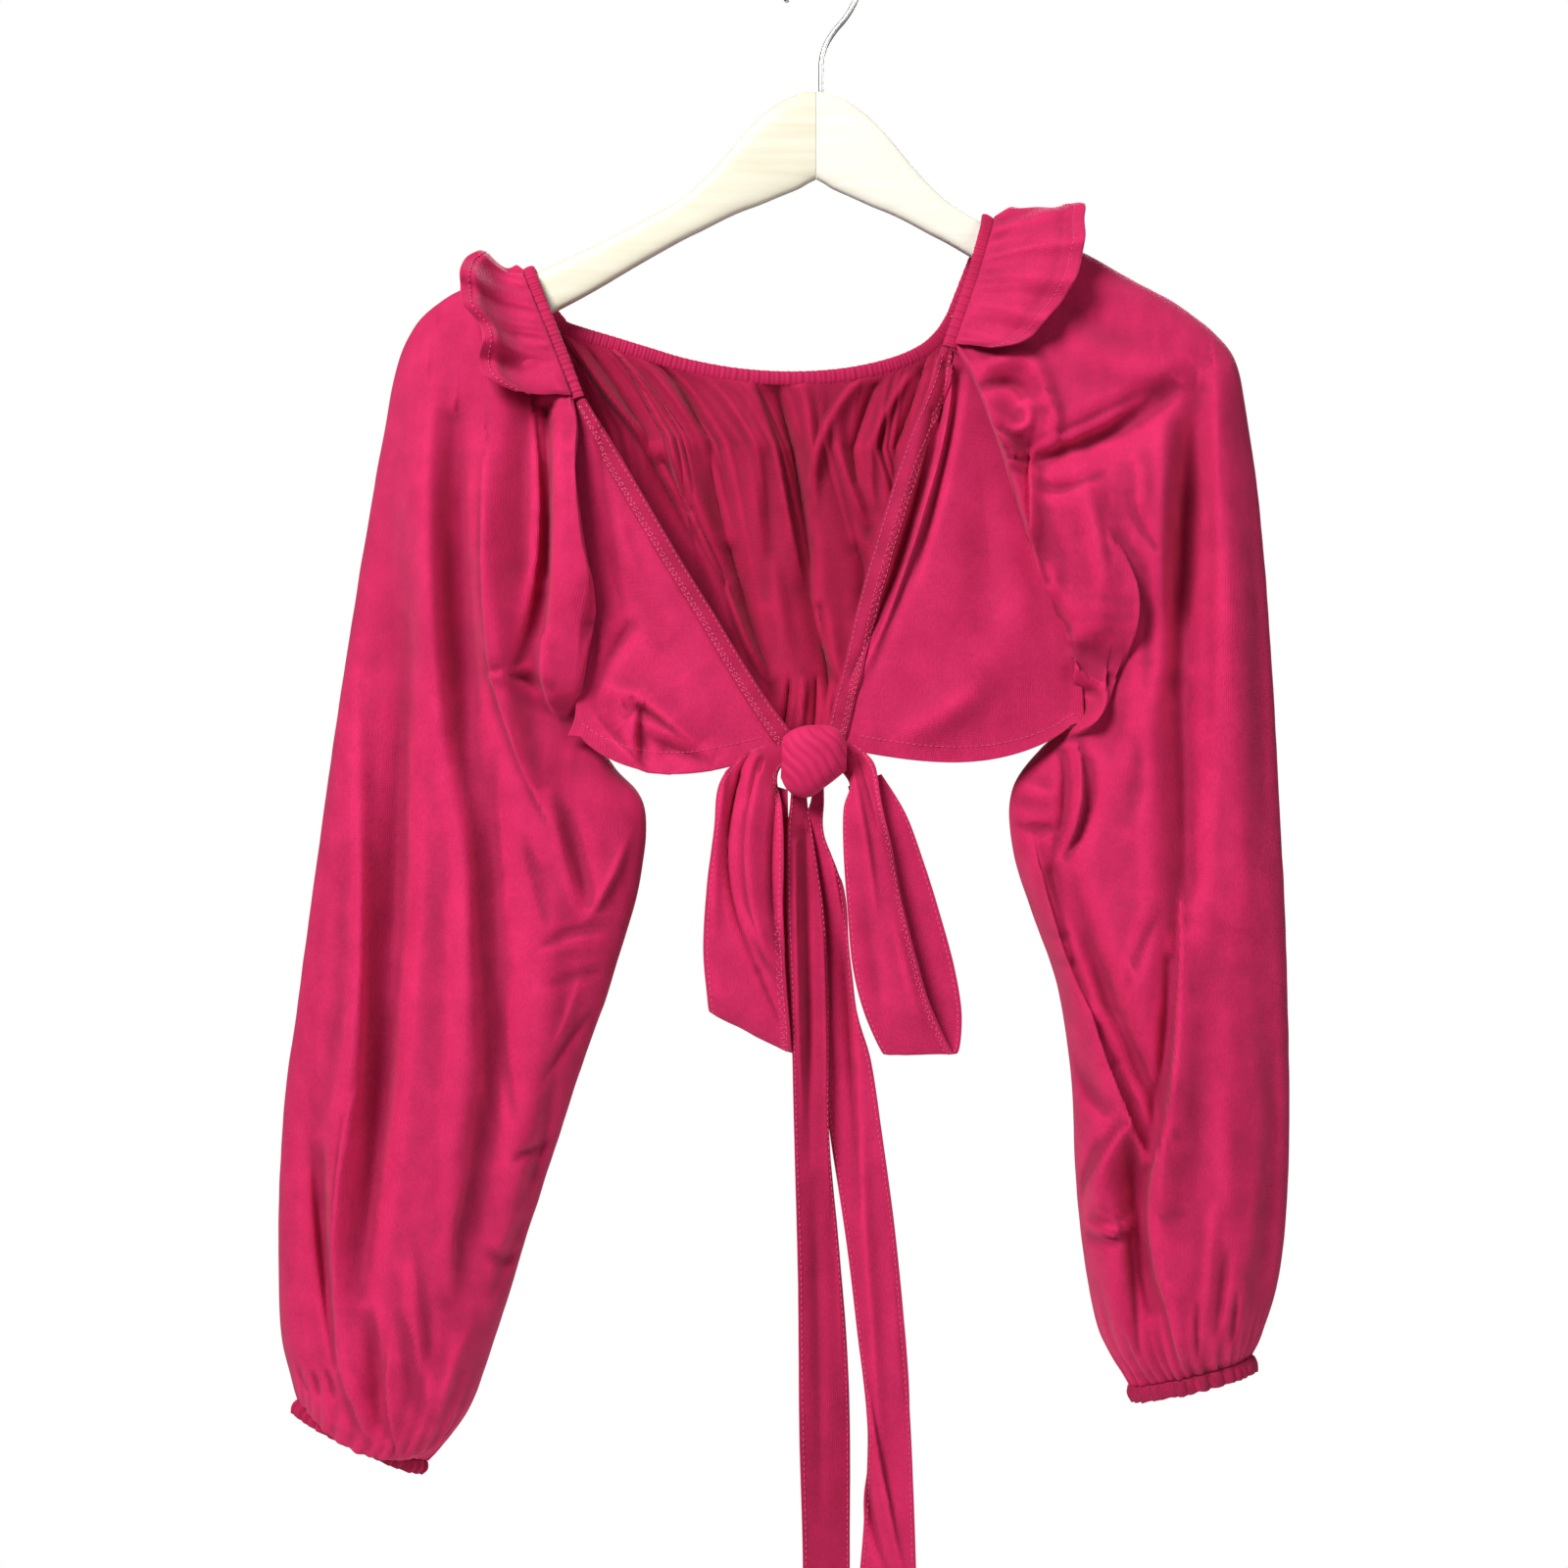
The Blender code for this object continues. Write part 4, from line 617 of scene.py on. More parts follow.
BACK_FINE = (
    (600, 350, 640, 420, 680, 480, 3.5, 5, -0.6, 0.6, 0, 1.6),
    (640, 380, 668, 470, 712, 560, 4, -6, 0, 0.6, 0, 1.6),
    (612, 356, 650, 440, 704, 520, 3.5, 4, -0.5, 0.4, 0, 1.6),
    (676, 376, 690, 480, 742, 600, 4.5, 7, -0.75, 0.7, 0, 1.5),
    (676, 470, 706, 520, 770, 660, 3.5, -7, 0, 0.6, 0, 1.6),
    (742, 600, 764, 660, 788, 700, 4, 6, -0.6, 0.7, 0, 1.6),
    (700, 380, 716, 440, 752, 560, 4.5, 5, 0.2, 0.5, 0, 1.7),
    (722, 384, 722, 450, 744, 560, 3.5, -5, 0, 0.7, 0, 1.6),
    (744, 560, 768, 640, 792, 716, 4, -6, 0, 0.8, 0, 1.6),
    (748, 384, 767.5, 440, 781, 525, 4, 3.2, 0.3, 0.6, 0, 1.6),
    (780, 390, 796, 480, 820, 600, 3.5, 6, 0.6, 0.6, 0, 1.5),
    (776, 470, 784, 540, 784, 620, 7, -5, 0, 0.3, 0, 1.8),
    (796, 386, 812, 470, 836, 620, 3, -6, 0, 0.7, 0, 1.5),
    (836, 620, 844, 680, 846, 730, 3, -6, 0, 0.9, 0, 1.6),
    (812, 392, 826, 440, 832, 520, 3.5, 5, 0, 0.6, 0, 1.6),
    (832, 560, 838, 640, 862, 700, 5, 7, -0.6, 0.3, 0, 1.5),
    (846, 392, 838, 440, 826, 500, 3.5, 5, -0.4, 0.6, 0, 1.6),
    (846, 440, 870, 500, 888, 540, 5, 4, 0, 0.4, 0, 1.7),
    (864, 392, 870, 440, 874, 500, 3, -4, 0, 0.6, 0, 1.6),
    (876, 560, 884, 590, 872, 640, 5, -5, 0, 0.5, 0, 1.7),
    (892, 390, 888, 440, 892, 520, 4, 4, 0, 0.6, 0, 1.6),
    (910, 386, 914, 470, 904, 560, 4, -6, 0.3, 0.6, 0, 1.6),
    (904, 560, 890, 620, 872, 700, 4, -5, 0, 0.7, 0, 1.6),
    (930, 380, 926, 470, 912, 560, 3.5, 5, 0, 0.6, 0, 1.6),
    (948, 372, 944, 440, 928, 540, 3.5, -4, 0, 0.6, 0, 1.6),
    (800, 740, 804, 716, 806, 690, 2, -4, 0, 0.9, 0, 1.6),
    (816, 742, 818, 716, 820, 690, 2, 4, 0, 0.9, 0, 1.6),
    (830, 744, 832, 716, 832, 690, 2, -4, 0, 0.9, 0, 1.6),
    (844, 744, 846, 720, 848, 690, 2, 4, 0, 0.9, 0, 1.6),
)
# The sleeves' backs aren't in the picture, so these points are in millimetres.
LEFT_BACK_FINE = (
    (-172, -262, -176, -380, -160, -520, 7, -6, 0.4, 0.5, 0, 1.6),
    (-196, -250, -200, -390, -184, -540, 8, 7, 0.6, 0.4, 2, 1.6),
    (-238, -262, -236, -420, -226, -600, 8, -6, 0.0, 0.2, 0, 1.7),
    (-284, -430, -292, -560, -298, -700, 7, 5, -0.5, 0.1, -2, 1.6),
    (-262, -560, -270, -700, -286, -832, 6, 6, 0.6, 0.1, 2, 1.5),
    (-236, -560, -248, -700, -268, -850, 6, -7, 0.0, 0.1, 0, 1.6),
    (-212, -600, -230, -720, -256, -856, 6, 6, -0.5, 0.1, -2, 1.6),
    (-176, -560, -196, -690, -236, -840, 6, -6, 0.0, 0.1, 0, 1.6),
    (-150, -520, -160, -620, -196, -760, 7, 5, 0.5, 0.2, 2, 1.6),
    (-134, -470, -172, -500, -200, -480, 5, -6, 0.0, 0.6, 0, 1.6),
    (-130, -500, -150, -540, -190, -560, 5, 4, 0.4, 0.5, 0, 1.6),
)
RIGHT_BACK_FINE = (
    (100, -250, 122, -330, 140, -410, 6, -6, 0.3, 0.6, 0, 1.6),
    (126, -262, 142, -350, 150, -430, 6, 6, 0.6, 0.6, 2, 1.6),
    (152, -420, 190, -424, 226, -380, 5, -7, 0.0, 0.6, 0, 1.6),
    (200, -300, 192, -430, 190, -560, 8, 7, -0.5, 0.2, -2, 1.6),
    (232, -280, 226, -420, 226, -600, 8, -6, 0.0, 0.2, 0, 1.7),
    (256, -420, 258, -560, 256, -700, 7, 5, 0.5, 0.1, 2, 1.6),
    (130, -500, 160, -610, 178, -720, 6, 7, 0.6, 0.4, 2, 1.5),
    (150, -500, 186, -620, 200, -740, 6, -7, 0.0, 0.3, 0, 1.6),
    (196, -640, 206, -740, 214, -836, 6, 6, -0.5, 0.1, -2, 1.6),
    (236, -640, 240, -740, 232, -830, 6, -6, 0.0, 0.1, 0, 1.6),
    (160, -680, 170, -760, 196, -836, 5, 5, 0.5, 0.1, 2, 1.6),
)
# Pixels again: the creases of the loops and the tails.
LEFT_LOOP_FOLDS = (
    (756, 792, 744, 890, 774, 990, 2.2, -5, 0.2, 0.8, 0, 1.5),
    (774, 990, 790, 1030, 803, 1064, 2, -3, 0.2, 0.9, 0, 1.6),
    (776, 792, 766, 890, 790, 990, 3.5, 5, -0.5, 0.7, -1.5, 1.6),
    (793, 806, 787, 900, 798, 980, 2.4, -6, 0, 0.7, 0, 1.6),
    (745, 772, 738, 800, 734, 850, 2, 3.5, 0, 0.8, 0, 1.6),
    (764, 770, 752, 800, 742, 860, 2, -4, 0, 0.8, 0, 1.6),
    (772, 772, 764, 790, 760, 830, 2, 3, 0, 0.8, 0, 1.6),
    (728, 990, 740, 1030, 760, 1050, 4, 3, 0, 0.2, 0, 1.8),
    (736, 800, 730, 880, 728, 960, 3, 3, 0, 0.3, 0, 1.8),
    (760, 930, 776, 960, 800, 990, 3, 2.5, 0, 0.2, 0, 1.7),
)
RIGHT_LOOP_FOLDS = (
    (866, 776, 880, 850, 894, 940, 3.5, 4, 0.3, 0.7, 1, 1.6),
    (880, 772, 904, 850, 930, 950, 3, -3.5, 0, 0.7, 0, 1.6),
    (874, 772, 884, 800, 896, 850, 2, -3, 0, 0.8, 0, 1.6),
    (888, 772, 906, 800, 924, 850, 2.2, 3.5, 0, 0.8, 0, 1.6),
    (880, 900, 890, 970, 900, 1040, 5, -3, 0, 0.2, 0, 1.8),
    (910, 930, 924, 990, 940, 1050, 4, 3, 0, 0.2, 0, 1.8),
)
LEFT_TAIL_FOLDS = (
    (822, 850, 824, 1000, 826, 1200, 3, -5, 0.2, 0.5, 0, 1.6),
    (838, 860, 842, 1050, 846, 1250, 3, 4, 0.3, 0.5, 0.6, 1.6),
    (812, 860, 814, 1000, 820, 1150, 2.5, 4, 0, 0.5, 0, 1.6),
    (850, 1000, 856, 1200, 858, 1400, 2.5, 3, 0, 0.2, 0, 1.6),
    (830, 1200, 834, 1350, 836, 1560, 4, -3, 0, 0.2, 0, 1.8),
)
RIGHT_TAIL_FOLDS = (
    (858, 900, 868, 1050, 878, 1250, 3, -5, 0.3, 0.4, 0, 1.6),
    (872, 1100, 886, 1300, 900, 1500, 4, 3.5, 0, 0.2, 0, 1.7),
    (850, 880, 864, 960, 880, 1060, 2.5, 3.5, 0.3, 0.5, 0, 1.6),
    (886, 1420, 898, 1500, 922, 1606, 3, 5, 0.7, 0.3, 1, 1.5),
    (878, 1450, 886, 1530, 906, 1606, 2.5, -5, 0, 0.3, 0, 1.6),
    (916, 1250, 922, 1350, 926, 1440, 3, -3, 0, 0.2, 0, 1.7),
)


def spline(table, count):
    """Even steps along a smooth curve through the rows of a table."""
    rows = np.array(table, dtype=float)
    place = np.linspace(0, len(rows) - 1, count)
    index = np.clip(place.astype(int), 0, len(rows) - 2)
    part = (place - index)[:, None]
    before = rows[np.maximum(index - 1, 0)]
    start = rows[index]
    end = rows[index + 1]
    after = rows[np.minimum(index + 2, len(rows) - 1)]
    cubic = (3 * start - before - 3 * end + after) * part ** 3
    square = (2 * before - 5 * start + 4 * end - after) * part ** 2
    return 0.5 * (2 * start + (end - before) * part + square + cubic)


def fold_field(x, z, folds):
    """Height of all folds of a table at x, z, and how far they lean over in x and z."""
    x, z = np.broadcast_arrays(x, z)
    all_x, all_z = x, z
    height_sum = np.zeros(x.shape)
    lean_x = np.zeros(x.shape)
    lean_z = np.zeros(x.shape)
    for row in folds:
        x1, z1, x2, z2, x3, z3, width, height, skew, start = row[:10]
        lap = row[10] if len(row) > 10 else 0.0
        power = row[11] if len(row) > 11 else 2.0
        bend_x = 2 * x2 - 0.5 * (x1 + x3)
        bend_z = 2 * z2 - 0.5 * (z1 + z3)
        steps = np.linspace(0, 1, FOLD_STEPS + 1)
        line_x = (1 - steps) ** 2 * x1 + 2 * steps * (1 - steps) * bend_x + steps ** 2 * x3
        line_z = (1 - steps) ** 2 * z1 + 2 * steps * (1 - steps) * bend_z + steps ** 2 * z3
        margin = 2.6 * width * (1 + abs(skew))
        near = (x > line_x.min() - margin) & (x < line_x.max() + margin)
        near = near & (z > line_z.min() - margin) & (z < line_z.max() + margin)
        if not near.any():
            continue
        x, z = all_x[near], all_z[near]
        nearest = np.full_like(x, 1e9)
        side = np.zeros_like(x)
        along = np.zeros_like(x)
        for i in range(FOLD_STEPS):
            dx = line_x[i + 1] - line_x[i]
            dz = line_z[i + 1] - line_z[i]
            length = math.hypot(dx, dz)
            local = ((x - line_x[i]) * dx + (z - line_z[i]) * dz) / length ** 2
            local = np.clip(local, 0, 1)
            off_x = x - line_x[i] - local * dx
            off_z = z - line_z[i] - local * dz
            distance = np.hypot(off_x, off_z)
            closer = distance < nearest
            nearest = np.where(closer, distance, nearest)
            side = np.where(closer, np.sign(off_x * dz - off_z * dx), side)
            along = np.where(closer, (i + local) / FOLD_STEPS, along)
        reach = width * (1 + skew * side)
        shape = np.exp(-(nearest / reach) ** power)
        fade = start + (1 - start) * np.clip(along / 0.35, 0, 1)
        fade = fade * np.clip((1 - along) / 0.35, 0, 1) ** 0.8
        height_sum[near] += height * fade * shape
        if lap:
            span = math.hypot(x3 - x1, z3 - z1)
            lean_x[near] -= lap * fade * shape * (z3 - z1) / span
            lean_z[near] += lap * fade * shape * (x3 - x1) / span
        x, z = all_x, all_z
    return height_sum, lean_x, lean_z


def photo_folds(rows, scale, relief=1.0, spread=1.0):
    """Folds whose points are pixels of the photograph, in millimetres on their cloth."""
    folds = []
    for row in rows:
        points = []
        for x, y in zip(row[0:6:2], row[1:6:2]):
            flat_x = (x - ORIGIN_PIXEL[0]) * PIXEL_MM
            flat_z = (ORIGIN_PIXEL[1] - y) * PIXEL_MM
            points.append(VIEW_CENTRE[0] + (flat_x - VIEW_CENTRE[0]) * scale)
            points.append(VIEW_CENTRE[1] + (flat_z - VIEW_CENTRE[1]) * scale)
        folds.append((*points, row[6] * spread, row[7] * relief, *row[8:]))
    return tuple(folds)


def grid_normals(grid, closed_rows=0):
    """Directions square to a grid's surface; rings join up in the last rows."""
    down = np.gradient(grid, axis=0)
    across = np.gradient(grid, axis=1)
    if closed_rows:
        ring = grid[-closed_rows:]
        wrap = ring[:, 1] - ring[:, -2]
        across[-closed_rows:, 0] = wrap
        across[-closed_rows:, -1] = wrap
    cross = np.cross(across, down)
    length = np.linalg.norm(cross, axis=2)
    return cross / np.maximum(length, 1e-9)[:, :, None]


def noise_at(points, across, along, seed):
    """Smooth noise from -1 to 1, long in z, at each point of a grid."""
    flat = points.reshape(-1, 3)
    values = [
        noise.noise(Vector((p[0] / across + seed, p[1] / (1.6 * across), p[2] / along)))
        for p in flat
    ]
    return np.array(values).reshape(points.shape[:2])


def ruffled(grid, amount, seed, closed_rows=0, keep=None):
    """The grid with fine uneven wrinkles, long in the way the cloth hangs."""
    out = grid_normals(grid, closed_rows)
    value = 1.1 * noise_at(grid, 26, 130, seed)
    value = value + 0.55 * noise_at(grid, 11, 60, seed + 5.3)
    value = value + 0.22 * noise_at(grid, 6, 14, seed + 9.1)
    if keep is not None:
        value = value * keep
    return grid + out * (amount * value)[:, :, None]


def quads(rows, columns, names):
    faces = []
    for i in range(rows - 1):
        for j in range(columns - 1):
            faces.append((names[i][j], names[i][j + 1], names[i + 1][j + 1], names[i + 1][j]))
    return faces


def sheet(grid, closed_from=None):
    """Points and faces of a grid; rows from closed_from on are rings."""
    rows, columns = grid.shape[:2]
    points = []
    names = []
    for i in range(rows):
        ring = closed_from is not None and i >= closed_from
        line = []
        for j in range(columns):
            if ring and j == columns - 1:
                line.append(line[0])
                continue
            line.append(len(points))
            points.append(grid[i, j])
        names.append(line)
    return np.array(points), quads(rows, columns, names)


def cloth_lengths(grid):
    """Distances over the cloth, across and down, in metres, for its weave."""
    across = np.linalg.norm(np.diff(grid, axis=1), axis=2).mean(axis=0)
    down = np.linalg.norm(np.diff(grid, axis=0), axis=2).mean(axis=1)
    u = np.concatenate([[0], np.cumsum(across)]) * MM
    v = np.concatenate([[0], np.cumsum(down)]) * MM
    return u, v


def hollows(grid, closed_rows=0):
    """How deep each point lies in a crease, negative on a crest, seen from the outside; the cloth material
    paints shade and light from it.
    """
    normals = grid_normals(grid, closed_rows)
    value = np.zeros(grid.shape[:2])
    for reach, deep in ((2, 0.4), (4, 1.3)):
        wide = np.pad(grid, ((reach, reach), (reach, reach), (0, 0)), mode="reflect", reflect_type="odd")
        for pair in (
            wide[reach:-reach, 2 * reach:] + wide[reach:-reach, :-2 * reach],
            wide[2 * reach:, reach:-reach] + wide[:-2 * reach, reach:-reach],
        ):
            sunk = ((0.5 * pair - grid) * normals).sum(axis=2)
            value = value + 0.3 * sunk / deep
    if closed_rows:
        way = grid[-closed_rows:] - grid[-closed_rows:].mean(axis=1, keepdims=True)
        value = value * np.sign((normals[-closed_rows:] * way).sum())
    return value


def add_mesh(name, points, faces, material, uvs=None, hollow=None):
    mesh = bpy.data.meshes.new(name)
    mesh.from_pydata([tuple(p) for p in np.asarray(points) * MM], [], faces)
    mesh.update()
    if uvs is not None:
        layer = mesh.uv_layers.new(name="cloth")
        layer.data.foreach_set("uv", np.asarray(uvs, dtype=np.float32).ravel())
    # The hollow values drive the painted crease shade and crest light of the cloth material.
    if hollow is not None:
        layer = mesh.attributes.new("hollow", "FLOAT", "POINT")
        layer.data.foreach_set("value", np.clip(hollow, -1, 1).astype(np.float32))
    mesh.polygons.foreach_set("use_smooth", [True] * len(mesh.polygons))
    mesh.materials.append(material)
    item = bpy.data.objects.new(name, mesh)
    bpy.context.scene.collection.objects.link(item)
    return item


def cloth_mesh(name, grid, material, closed_from=None, thick=0.0, lift=0.0):
    """A sheet from its grid, with the weave's lengths; thick gives it a wall."""
    rows, columns = grid.shape[:2]
    points, faces = sheet(grid, closed_from)
    ring_rows = rows - closed_from if closed_from is not None else 0
    # Crease depths for the painted shade.
    sunk = hollows(grid, ring_rows)
    hollow, _ = sheet(sunk[:, :, None], closed_from)
    hollow = hollow[:, 0]
    u, v = cloth_lengths(grid)
    uvs = []
    for i in range(rows - 1):
        for j in range(columns - 1):
            uvs += [(u[j], v[i]), (u[j + 1], v[i]), (u[j + 1], v[i + 1]), (u[j], v[i + 1])]
    if thick:
        normals = grid_normals(grid, ring_rows)
        out, _ = sheet(normals, closed_from)
        outer = points + out * lift
        inner = outer - out * thick
        count = len(points)
        back = [(a + count, d + count, c + count, b + count) for a, b, c, d in faces]
        back_uvs = []
        for k in range(0, len(uvs), 4):
            back_uvs += [uvs[k], uvs[k + 3], uvs[k + 2], uvs[k + 1]]
        rims = []
        rim_uvs = []
        seen = {}
        for number, face in enumerate(faces):
            for k in range(4):
                a, b = face[k], face[(k + 1) % 4]
                seen.setdefault((min(a, b), max(a, b)), []).append((a, b, uvs[4 * number + k]))
        for pairs in seen.values():
            if len(pairs) == 1:
                a, b, uv = pairs[0]
                rims.append((b, a, a + count, b + count))
                rim_uvs += [uv] * 4
        points = np.vstack([outer, inner])
        faces = faces + back + rims
        uvs = uvs + back_uvs + rim_uvs
        hollow = np.concatenate([hollow, -hollow])
    return add_mesh(name, points, faces, material, uvs, hollow)


def stitches(name, paths, material, length=2.3, gap=1.1, radius=0.28, lift=0.25):
    """Sewing thread in short raised stitches along paths of (points, out directions)."""
    points = []
    faces = []
    for line, out in paths:
        steps = np.linalg.norm(np.diff(line, axis=0), axis=1)
        run = np.concatenate([[0], np.cumsum(steps)])
        starts = np.arange(0.6, run[-1] - length, length + gap)
        for start in starts:
            a = np.array([np.interp(start, run, line[:, k]) for k in range(3)])
            b = np.array([np.interp(start + length, run, line[:, k]) for k in range(3)])
            n = np.array([np.interp(start, run, out[:, k]) for k in range(3)])
            n = n / max(np.linalg.norm(n), 1e-9)
            way = (b - a) / max(np.linalg.norm(b - a), 1e-9)
            side = np.cross(way, n)
            middle = 0.5 * (a + b)
            base = len(points)
            for place, grow in ((a, 0.45), (middle, 1.0), (b, 0.45)):
                for k in range(5):
                    angle = 2 * math.pi * k / 5
                    ring = side * math.cos(angle) + n * math.sin(angle)
                    points.append(place + n * lift + ring * radius * grow)
            for r in range(2):
                for k in range(5):
                    q = (k + 1) % 5
                    s = base + 5 * r
                    faces.append((s + k, s + q, s + 5 + q, s + 5 + k))
            faces.append(tuple(base + k for k in reversed(range(5))))
            faces.append(tuple(base + 10 + k for k in range(5)))
    return add_mesh(name, points, faces, material)


def zigzag(line_a, out_a, line_b, out_b, every=4):
    """A path that runs to and fro between two lines, as an overlock seam does."""
    line = []
    out = []
    for i in range(0, len(line_a), every):
        line += [line_a[i], line_b[min(i + every // 2, len(line_b) - 1)]]
        out += [out_a[i], out_b[min(i + every // 2, len(out_b) - 1)]]
    return np.array(line), np.array(out)


def casing_frames(path, count):
    """Middle line of a casing with its outward and cross directions."""
    rows = spline(path, count)
    line = np.stack([rows[:, 0], rows[:, 2], rows[:, 1]], axis=1)
    out = rows[:, 3:6]
    along = np.gradient(line, axis=0)
    along = along / np.linalg.norm(along, axis=1)[:, None]
    out = out - along * np.sum(out * along, axis=1)[:, None]
    out = out / np.linalg.norm(out, axis=1)[:, None]
    return line, out, np.cross(along, out)


def bar_faces(rings, sides):
    """The sides and both ends of a bar made of rings of points."""
    faces = []
    for i in range(rings - 1):
        for k in range(sides):
            n = (k + 1) % sides
            a = i * sides
            b = a + sides
            faces.append((a + k, b + k, b + n, a + n))
    faces.append(tuple(range(sides)))
    faces.append(tuple((rings - 1) * sides + k for k in reversed(range(sides))))
    return faces


def tube(line, out, cross, half_width, half_thick, sides, swell):
    """A closed bar of oval section along a line; swell is one number a section."""
    points = []
    for i, grow in enumerate(swell):
        for k in range(sides):
            angle = 2 * math.pi * k / sides
            wide = math.copysign(abs(math.cos(angle)) ** 0.8, math.cos(angle))
            place = line[i] + cross[i] * half_width * wide * (1 + 0.15 * (grow - 1))
            points.append(place + out[i] * half_thick * grow * math.sin(angle))
    return np.array(points), bar_faces(len(line), sides)


def face_out(points, faces):
    """Turns all faces over when the solid is inside out."""
    volume = 0.0
    for face in faces:
        a = points[face[0]]
        for k in range(1, len(face) - 1):
            volume += np.dot(a, np.cross(points[face[k]], points[face[k + 1]]))
    if volume < 0:
        return [tuple(reversed(face)) for face in faces]
    return faces


def own(item, node):
    """The piece hangs with the hanger and stands for its CAD node."""
    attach(item, "root")
    if node:
        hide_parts(node)
    return item


def set_inputs(node, values):
    for socket, value in values.items():
        node.inputs[socket].default_value = value


def new_material(name, values):
    """A node material, its tree and its shader, with the shader's constant values."""
    material = bpy.data.materials.new(name)
    material.use_nodes = True
    tree = material.node_tree
    shader = tree.nodes["Principled BSDF"]
    set_inputs(shader, values)
    return material, tree, shader


def add_node(tree, kind, values, links):
    """A shader node with the values of its inputs and the outputs linked to it."""
    node = tree.nodes.new("ShaderNode" + kind)
    set_inputs(node, values)
    for socket, output in links.items():
        tree.links.new(output, node.inputs[socket])
    return node


def add_tint(tree, amount, dark, light, low=0.0, high=1.0):
    """A colour that runs from dark to light with an amount."""
    tint = add_node(tree, "ValToRGB", {}, {"Fac": amount})
    first, last = tint.color_ramp.elements
    first.position = low
    first.color = (*dark, 1.0)
    last.position = high
    last.color = (*light, 1.0)
    return tint.outputs["Color"]


def add_bump(tree, shader, height, strength, distance):
    bump = add_node(tree, "Bump", {"Strength": strength, "Distance": distance}, {"Height": height})
    tree.links.new(bump.outputs["Normal"], shader.inputs["Normal"])


def cloth_material(name, color, deep):
    """Fine matt knit: uneven dye, rows of small stitches and a soft nap; painted shade darkens the creases
    and painted light lifts the crests a little, from the mesh's hollow values.
    """
    material, tree, shader = new_material(name, {
        "Roughness": 0.76,
        "Sheen Weight": 0.14,
        "Sheen Roughness": 0.45,
        "Sheen Tint": (1.0, 0.55, 0.68, 1.0),
        "Specular IOR Level": 0.5,
        "Specular Tint": (1.0, 0.5, 0.85, 1.0),
    })
    place = tree.nodes.new("ShaderNodeTexCoord").outputs
    cloud = add_node(tree, "TexNoise", {"Scale": 55.0, "Detail": 4.0}, {"Vector": place["Object"]})
    stretch = add_node(tree, "Mapping", {"Scale": (900.0, 330.0, 1.0)}, {"Vector": place["UV"]})
    grain = add_node(tree, "TexNoise", {"Scale": 1.0, "Detail": 2.0}, {"Vector": stretch.outputs["Vector"]})
    blend = add_node(tree, "Mix", {"Factor": 0.45}, {"A": cloud.outputs["Fac"], "B": grain.outputs["Fac"]})
    tint = add_tint(tree, blend.outputs["Result"], deep, color, 0.3, 0.7)
    # Painted shade: the base colour is darkened in creases and lightened a little on crests by the hollow
    # attribute.
    crease = tree.nodes.new("ShaderNodeAttribute")
    crease.attribute_name = "hollow"
    span = {"From Min": -0.6, "From Max": 1.2, "To Min": 1.06, "To Max": 0.60}
    shade = add_node(tree, "MapRange", span, {"Value": crease.outputs["Fac"]})
    painted_crease_shade = add_node(tree, "HueSaturation", {}, {"Value": shade.outputs["Result"], "Color": tint})
    tree.links.new(painted_crease_shade.outputs["Color"], shader.inputs["Base Color"])
    rib = {"Scale": 330.0, "Distortion": 0.8, "Detail": 1.0}
    wales = add_node(tree, "TexWave", rib, {"Vector": place["UV"]})
    courses = add_node(tree, "TexWave", {"Scale": 400.0, "Distortion": 0.8}, {"Vector": place["UV"]})
    courses.bands_direction = "Y"
    knit = add_node(tree, "Math", {}, {0: wales.outputs["Fac"], 1: courses.outputs["Fac"]})
    knit.operation = "MULTIPLY"
    fibre = add_node(tree, "Math", {}, {0: knit.outputs["Value"], 1: grain.outputs["Fac"]})
    add_bump(tree, shader, fibre.outputs["Value"], 0.55, 0.0004)
    return material


def thread_material(name, color):
    """Sewing thread: two plies twisted, a little brighter than the cloth."""
    material, tree, shader = new_material(name, {"Roughness": 0.55, "Sheen Weight": 0.2})
    place = tree.nodes.new("ShaderNodeTexCoord").outputs
    ply = add_node(tree, "TexNoise", {"Scale": 900.0}, {"Vector": place["Object"]}).outputs["Fac"]
    tint = add_tint(tree, ply, [0.75 * c for c in color], color)
    tree.links.new(tint, shader.inputs["Base Color"])
    add_bump(tree, shader, ply, 0.4, 0.0002)
    return material


def wood_material(name, light, dark, angle):
    """Pale sanded wood with its grain along the arm, under a thin satin coat."""
    coat = {"Roughness": 0.42, "Coat Weight": 0.25, "Coat Roughness": 0.3}
    material, tree, shader = new_material(name, coat)
    place = tree.nodes.new("ShaderNodeTexCoord").outputs
    along = {"Rotation": (0.0, angle, 0.0), "Scale": (9.0, 160.0, 160.0)}
    turn = add_node(tree, "Mapping", along, {"Vector": place["Object"]})
    rings = {"Scale": 1.0, "Detail": 6.0, "Distortion": 0.6}
    grain = add_node(tree, "TexNoise", rings, {"Vector": turn.outputs["Vector"]}).outputs["Fac"]
    tint = add_tint(tree, grain, dark, light, 0.32, 0.62)
    tree.links.new(tint, shader.inputs["Base Color"])
    add_bump(tree, shader, grain, 0.12, 0.0004)
    return material


def wire_material(name, color):
    """Drawn nickel-plated wire with fine lengthwise marks."""
    material, tree, shader = new_material(name, {"Metallic": 1.0})
    place = tree.nodes.new("ShaderNodeTexCoord").outputs
    marks = add_node(tree, "TexNoise", {"Scale": 420.0, "Detail": 3.0}, {"Vector": place["Object"]})
    marks = marks.outputs["Fac"]
    rough = add_node(tree, "MapRange", {"To Min": 0.22, "To Max": 0.4}, {"Value": marks})
    tree.links.new(rough.outputs["Result"], shader.inputs["Roughness"])
    tint = add_tint(tree, marks, [0.86 * c for c in color], color)
    tree.links.new(tint, shader.inputs["Base Color"])
    return material


def plain_material(name, color):
    return new_material(name, {"Base Color": (*color, 1.0), "Roughness": 0.9})[0]


